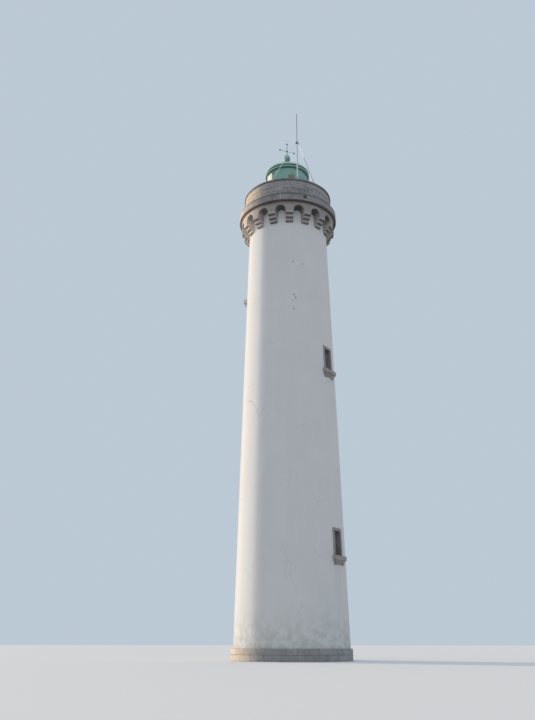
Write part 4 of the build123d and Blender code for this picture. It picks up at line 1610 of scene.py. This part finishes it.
@dataclass(frozen=True)
class Lantern(Trade):
    """The metal lantern: strips, rivets, beads, gutter brackets, roof seams and ventilator."""

    radius: float = reach("lantern_base")
    floor: float = levels("lantern_base")[0]
    sill: float = levels("lantern_base")[1]
    head: float = levels("lantern_frame")[1]
    roof_top: float = levels("lantern_roof")[1]
    neck_top: float = roof_top + 0.39
    bays: int = 12
    bay: float = 30.0
    half_bar: float = 0.0275
    panel_bays: tuple[int, ...] = (-1, 0, 1, 2)
    screen_bay: float = -60.0
    doorway: float = 13.0
    blind_trim: tuple[str, float, float] = ("lantern_panels", 0.0448, 0.006)
    glazed_trim: tuple[str, float, float] = ("lantern_glass", 0.0238, 0.012)
    seams: int = 16
    knots: tuple[float, float, int] = (0.50, 1.60, 23)
    rivet: Pairs = ((0.0, 0.0085), (0.0025, 0.0080), (0.0050, 0.0050), (0.0062, 0.0008))
    bolt: Pairs = ((0.0, 0.013), (0.008, 0.013), (0.010, 0.009))
    hinge: Pairs = pin(0.10, 0.013, 0.008, 0.003)
    rose: Pairs = ((0.0, 0.020), (0.010, 0.018), (0.012, 0.009), (0.045, 0.009), (0.050, 0.006))
    grip: Pairs = ((-0.012, 0.007), (0.0, 0.010), (0.10, 0.009), (0.115, 0.011), (0.122, 0.006))
    bracket: Pairs = ((0.0, 0.0), (0.0, 0.060), (0.045, 0.078), (0.088, 0.082), (0.088, 0.070),
                      (0.04, 0.045), (0.015, 0.0))
    seam: Pairs = ((-0.011, -0.010), (0.011, -0.010), (0.0085, 0.012), (0.0, 0.0185),
                   (-0.0085, 0.012))

    def strip(self, azimuth: float, half: float, near: float, far: float, low: float,
              high: float) -> Mesh:
        """A bevelled upright strip at an azimuth."""
        return Facing(azimuth).slab((-half, near, low), (half, far, high), 0.002)

    def arc(self, start: float, end: float, near: float, far: float, low: float, high: float,
            stations: int = 24, cut: float = 0.002) -> Mesh:
        """A part of a ring of rectangular section."""
        return skin(arc_blocks(rectangle(near, far, low, high, cut), [start], [end], stations, 0.0,
                               cut))

    def rivets(self, azimuth: np.ndarray, radius: float, level: np.ndarray) -> Mesh:
        """Domed rivet heads on a cylinder."""
        return turned(polar(radius, azimuth, level), polar(1.0, azimuth, np.zeros_like(level)),
                      self.rivet, 8)

    def add_green(self, name: str, green: Lot) -> None:
        """Makes a lot a piece in the lantern's paint."""
        green.piece(name, Slot.GREEN, self.looks["green_paint"])

    def drum(self) -> None:
        """The base ring, cover strips over the joints of the drum's plates, and their rivets."""
        green, face, low, high = Lot(), self.radius, self.floor + 0.075, self.sill - 0.055
        end = 180.0 - self.doorway
        green.add(self.arc(-end, end, face - 0.01, face + 0.030, self.floor + 0.014, low))
        green.add(ring(rectangle(face - 0.005, face + 0.016, high, self.sill + 0.004, 0.003), 144))
        for azimuth in self.bay * (np.arange(self.bays) + 0.5):
            green.add(self.strip(azimuth, 0.032, face - 0.006, face + 0.007, low, high))
            for side in (-0.020, 0.020):
                green.add(self.rivets(azimuth + math.degrees(side / face), face + 0.0065,
                                      np.linspace(low + 0.05, self.sill - 0.10, 15)))
        turns = np.arange(0.0, 360.0, 4.0) + 2.0
        green.add(self.rivets(turns, face + 0.0155, self.sill - 0.025))
        beside_door = turns[np.abs(turns - 180.0) > self.doorway + 1.0]
        green.add(self.rivets(beside_door, face + 0.0295, self.floor + 0.045))
        self.add_green("drum_strips", green)

    def bays_trim(self) -> None:
        """A flat frame and rivets on each blind bay, and glazing beads on each glazed one."""
        green, low, high = Lot(), self.sill + 0.085, self.head - 0.085
        half = self.bay / 2.0 - math.degrees(self.half_bar / self.radius)
        for centre in self.bay * np.arange(self.bays):
            blind = round(turn_from(0.0, centre) / self.bay) in self.panel_bays
            node, width, deep = self.blind_trim if blind else self.glazed_trim
            near, far = reach(node) - 0.004, reach(node) + deep
            for bottom, top in ((low, low + width), (high - width, high)):
                green.add(self.arc(centre - half, centre + half, near, far, bottom, top))
            for side in (-1, 1):
                edge = centre + side * (half - math.degrees(width / 2.0 / self.radius))
                green.add(self.strip(edge, width / 2.0, near, far, low, high))
            if blind:
                turns = np.linspace(centre - half + 1.2, centre + half - 1.2, 9)
                for level in (low + 0.022, high - 0.022):
                    green.add(self.rivets(turns, far - 0.0005, level))
            green.add(self.rivets(centre + self.bay / 2.0, self.radius - 0.0005,
                                  np.linspace(low + 0.02, high - 0.02, 8)))
        self.add_green("bay_trim", green)

    def cream_screen(self) -> None:
        """A cream sheet screwed over the pane on the left, between its beads; its paleness also
        stands in for sunlight there.
        """
        near, bay = reach("lantern_glass"), self.screen_bay
        low, high = self.sill + 0.095, self.head - 0.095
        half = 14.6 - math.degrees(self.half_bar / self.radius)
        sheet = Lot().add(self.arc(bay - half, bay + half, near + 0.0005, near + 0.0040, low, high,
                                   16, 0.001))
        turns = np.repeat((bay - 12.0, bay + 12.0), 5)
        rows = np.tile(np.linspace(low + 0.06, high - 0.06, 5), 2)
        sheet.add(self.rivets(turns, near + 0.0035, rows))
        sheet.piece("cream_screen", Slot.GREEN, self.looks["cream_screen"])

    def brackets(self) -> None:
        """Small brackets under the gutter, two a bay."""
        green, outline = Lot(), np.array(self.bracket) * 0.9
        loops = np.stack([np.stack((np.full(len(outline), side),
                                    self.radius - 0.004 + outline[:, 0],
                                    self.head - 0.062 + outline[:, 1]), axis=-1)
                          for side in (-0.009, 0.009)])
        for azimuth in self.bay / 2.0 * (np.arange(self.bays * 2) + 0.5):
            green.add(skin(Facing(azimuth).place(loops)))
        self.add_green("gutter_brackets", green)

    def roof(self) -> None:
        """Standing seams down the roof, and a collar where it meets the ventilator.

        The seams follow a quartic fitted to the highest points of the roof round each knot.
        """
        points, section = node_points("lantern_roof"), np.array(self.seam)
        away, knots = from_axis(points), np.linspace(*self.knots)
        tops = np.array([points[np.abs(away - knot) < 0.06, 2].max(initial=0.0) for knot in knots])
        good = tops > self.head
        tops = np.interp(knots, knots[good], tops[good])
        rise = np.polyval(np.polyfit(knots, tops, 4), knots)[:, None] + section[:, 1]
        loops = np.stack((*np.broadcast_arrays(section[:, 0], knots[:, None]), rise), axis=-1)
        green, top = Lot(), self.roof_top
        for azimuth in 360.0 / self.seams * (np.arange(self.seams) + 0.5):
            green.add(skin(Facing(azimuth).place(loops)))
        green.add(ring(rounded([(0.455, top - 0.025), (0.505, top - 0.035), (0.500, top + 0.01),
                                (0.455, top + 0.02)], [0.005, 0.012, 0.012, 0.005]), 96))
        self.add_green("roof_seams", green)

    def vent(self) -> None:
        """Beads round the ventilator's neck and belly, and bolts on its collar."""
        green, points, tube = Lot(), node_points("ventilator"), np.arange(8) * TURN / 8
        top, away = levels("ventilator")[1], from_axis(points)
        for level, size in ((self.roof_top + 0.15, 0.012), (self.neck_top, 0.016),
                            (self.neck_top + 0.24, 0.010), (top - 0.165, 0.010)):
            near = away[np.abs(points[:, 2] - level) < 0.05].max(initial=0.1) - 0.002
            green.add(ring(np.stack((near + size * np.cos(tube), level + size * np.sin(tube)),
                                    axis=-1), 64))
        places = polar(0.482, np.arange(12) * 30.0, self.roof_top + 0.011)
        green.add(turned(places, UP, self.bolt, 6))
        self.add_green("ventilator_beads", green)

    def small_door(self) -> None:
        """Two hinges and a lever on the gallery door."""
        metal, view, level = Lot(), Facing(180.0), self.floor + 0.79
        face = float(view.read(node_points("gallery_door"))[:, 1].max())
        edge, hand = (math.sqrt(face ** 2 - across ** 2) for across in (0.372, 0.27))
        for low in (self.floor + 0.34, self.floor + 1.14):
            metal.add(turned(view.place((-0.372, edge + 0.004, low)), UP, self.hinge, 12))
        metal.add(turned(view.place((0.27, hand - 0.002, level)), view.place((0.17, 1, 0)),
                         self.rose, 14))
        metal.add(turned(view.place((0.27, hand + 0.038, level)), view.place((-1, 0.1, -0.05)),
                         self.grip, 12))
        metal.piece("gallery_door_ironwork", Slot.GREEN, self.looks["dark_iron"])

    def build(self) -> None:
        """Builds the lantern's pieces and dresses its nodes."""
        self.dress(Slot.GREEN, "green_paint", "lantern_base", "gallery_door", "lantern_frame",
                   "lantern_panels", "gutter", "lantern_roof", "ventilator")
        self.dress(Slot.GLASS, "clear_glass", "lantern_glass")
        self.drum()
        self.bays_trim()
        self.cream_screen()
        self.brackets()
        self.roof()
        self.vent()
        self.small_door()


@dataclass(frozen=True)
class Rigging(Trade):
    """The finial, the mast and its stays."""

    # The left stay takes the pale wire, which partly paints light on it.
    stays: tuple[tuple[str, str], ...] = (("stay_left", "pale_wire"), ("stay_right", "stay_wire"))
    nut: Pairs = ((0.0, 0.014), (0.012, 0.014), (0.012, 0.008), (0.024, 0.008), (0.026, 0.006))
    small_nut: Pairs = ((0.0, 0.009), (0.008, 0.009), (0.010, 0.006))
    foot_nuts: float = 0.088
    plate_nuts: float = 0.042
    strainer: Pairs = (
        (0.0, 0.0175), (0.02, 0.022), (0.05, 0.022), (0.055, 0.0265), (0.20, 0.0265),
        (0.205, 0.022), (0.235, 0.022), (0.255, 0.0175))
    mast_bands: Pairs = ((0.02, 0.05), (0.95, 0.035), (2.0, 0.035))
    finial_bands: Pairs = ((0.02, 0.030), (0.12, 0.026), (0.58, 0.024), (0.79, 0.026))

    def nuts(self, centre: np.ndarray, away: float, profile: Pairs) -> Mesh:
        """Four nuts at the corners of a square round a centre."""
        corners = polar(away, np.arange(4) * 90.0 + 45.0, 0.0)
        return turned(centre + corners, UP, profile, 6)

    def mast(self, top: float) -> None:
        """Nuts and bands on the mast, and a strainer and nuts on each stay.

        Args:
            top: the level of the coping's top.
        """
        metal = Lot()
        foot = node_points("mast_whip").mean(axis=0) * (1.0, 1.0, 0.0) + (0.0, 0.0, top)
        metal.add(self.nuts(foot + (0.0, 0.0, 0.019), self.foot_nuts, self.nut))
        for rise, height in self.mast_bands:
            metal.add(turned(foot + (0.0, 0.0, rise), UP, pin(height, 0.056, 0.050, 0.004), 24))
        for name, _ in self.stays:
            points = node_points(name)
            low = points[points[:, 2] < points[:, 2].min() + 0.06].mean(axis=0)
            high = points[points[:, 2] > points[:, 2].max() - 0.06].mean(axis=0)
            along = unit(high - low)
            metal.add(turned(low + 0.10 * along, along, self.strainer, 12))
            plate = polar(from_axis(foot), azimuth_of(low), top + 0.011)
            metal.add(self.nuts(plate, self.plate_nuts, self.small_nut))
        metal.piece("mast_fittings", Slot.MAST, self.looks["galvanized"])

    def build(self) -> None:
        """Builds the fittings and the finial's collars and dresses the nodes."""
        self.mast(Stonework.coping_top)
        spike, collars = levels("ventilator")[1], Lot()
        for rise, size in self.finial_bands:
            collars.add(turned((0.0, 0.0, spike + rise), UP, pin(0.026, size, 0.019, 0.006), 20))
        collars.piece("finial_collars", Slot.IRON, self.looks["verdigris"])
        self.dress(Slot.IRON, "verdigris", "finial_rod", "finial_arms")
        self.dress(Slot.IRON, "mast_iron", "mast_collar", "mast_whip")
        self.dress(Slot.IRON, "galvanized", "stay_feet")
        self.dress(Slot.MAST, "mast_metal", "mast_tube")
        for node, wire in self.stays:
            self.dress(Slot.MAST, wire, node)
        self.dress(Slot.SLEEVE, "white_sleeve", "stay_sleeve")


@dataclass(frozen=True)
class Stage:
    """The floor, the light and the camera."""

    reach: float = 400.0
    floor_colour: Colour = (0.70, 0.71, 0.72)
    fill: Colour = (0.655, 0.715, 0.79)
    backdrop: Colour = (0.50, 0.585, 0.66)
    sun_azimuth: float = -121.0
    sun_elevation: float = 13.0
    sun_strength: float = 3.4
    sun_colour: Colour = (1.0, 0.77, 0.52)
    sun_angle: float = 5.0
    eye: tuple[float, float, float] = (0.0, -50.0, 1.0)
    pitch: float = 20.44
    yaw: float = -1.732
    roll: float = 0.05
    lens: float = 38.0

    def build(self) -> None:
        """Builds the stage."""
        far = self.reach
        mesh = bpy.data.meshes.new("floor")
        mesh.from_pydata([(-far, -far, 0), (far, -far, 0), (far, far, 0), (-far, far, 0)], [],
                         [(0, 1, 2, 3)])
        floor = bpy.data.objects.new("floor", mesh)
        bpy.context.scene.collection.objects.link(floor)
        paint = fresh("floor")
        mesh.materials.append(paint.surface(paint.shader(
            Base_Color=self.floor_colour, Roughness=0.9, Specular_IOR_Level=0.1)))
        self.world()
        self.sun()
        self.camera()
        bpy.context.scene.view_settings.view_transform = "Standard"

    def world(self) -> None:
        """A soft even fill, and a pale backdrop where the camera, gloss or glass looks out."""
        paint = Paint(bpy.data.worlds.new("studio"))
        bpy.context.scene.world = paint.owner
        rays = paint.add("ShaderNodeLightPath")
        seen = (rays.part("Is Camera Ray") | rays.part("Is Glossy Ray")
                | rays.part("Is Transmission Ray"))
        fill, back = (paint.add("ShaderNodeBackground", None, {0: (*colour, 1.0), 1: 1.0})
                      for colour in (self.fill, self.backdrop))
        both = paint.add("ShaderNodeMixShader", None, {0: seen, 1: fill, 2: back})
        paint.add("ShaderNodeOutputWorld", None, {"Surface": both})

    def stand(self, data: bpy.types.ID, side: np.ndarray, up: np.ndarray, back: np.ndarray,
              eye: tuple[float, float, float]) -> bpy.types.Object:
        """Stands a lamp or camera, which looks along its -Z.

        Args:
            data: the lamp or camera.
            side: its X axis.
            up: its Y axis.
            back: its Z axis.
            eye: its place.

        Returns:
            The object.
        """
        made = bpy.data.objects.new(data.name, data)
        made.matrix_world = Matrix([*np.stack((side, up, back, eye), axis=1).tolist(),
                                    (0.0, 0.0, 0.0, 1.0)])
        bpy.context.scene.collection.objects.link(made)
        return made

    def sun(self) -> None:
        """One soft lamp, low on the left and from behind."""
        lamp = bpy.data.lights.new("key", "SUN")
        lamp.energy, lamp.color = self.sun_strength, self.sun_colour
        lamp.angle = math.radians(self.sun_angle)
        a, e = math.radians(self.sun_azimuth), math.radians(self.sun_elevation)
        towards = np.array((math.sin(a) * math.cos(e), -math.cos(a) * math.cos(e), math.sin(e)))
        side = unit(np.cross(UP, towards))
        self.stand(lamp, side, np.cross(towards, side), towards, (0.0, 0.0, 0.0))

    def camera(self) -> None:
        """The photograph's view: yawed, raised by the pitch and rolled about the line of sight."""
        p, y, r = (math.radians(angle) for angle in (self.pitch, self.yaw, self.roll))
        ahead = np.array((math.sin(y) * math.cos(p), math.cos(y) * math.cos(p), math.sin(p)))
        side = np.array((math.cos(y), -math.sin(y), 0.0))
        up = np.cross(side, ahead)
        data = bpy.data.cameras.new("camera")
        data.sensor_fit, data.sensor_width, data.lens = "AUTO", 36.0, self.lens
        data.clip_start, data.clip_end = 1.0, 1500.0
        bpy.context.scene.camera = self.stand(
            data, math.cos(r) * side + math.sin(r) * up, math.cos(r) * up - math.sin(r) * side,
            -ahead, self.eye)


def main() -> None:
    """Builds everything in order."""
    logging.basicConfig(level=logging.INFO, format="%(name)s: %(message)s")
    looks = {finish.name: finish.material() for finish in FINISHES}
    Stage().build()
    for trade in (Shaft, Stonework, Windows, Door, Lantern, Rigging):
        trade(looks).build()


if __name__ == "__main__":
    main()
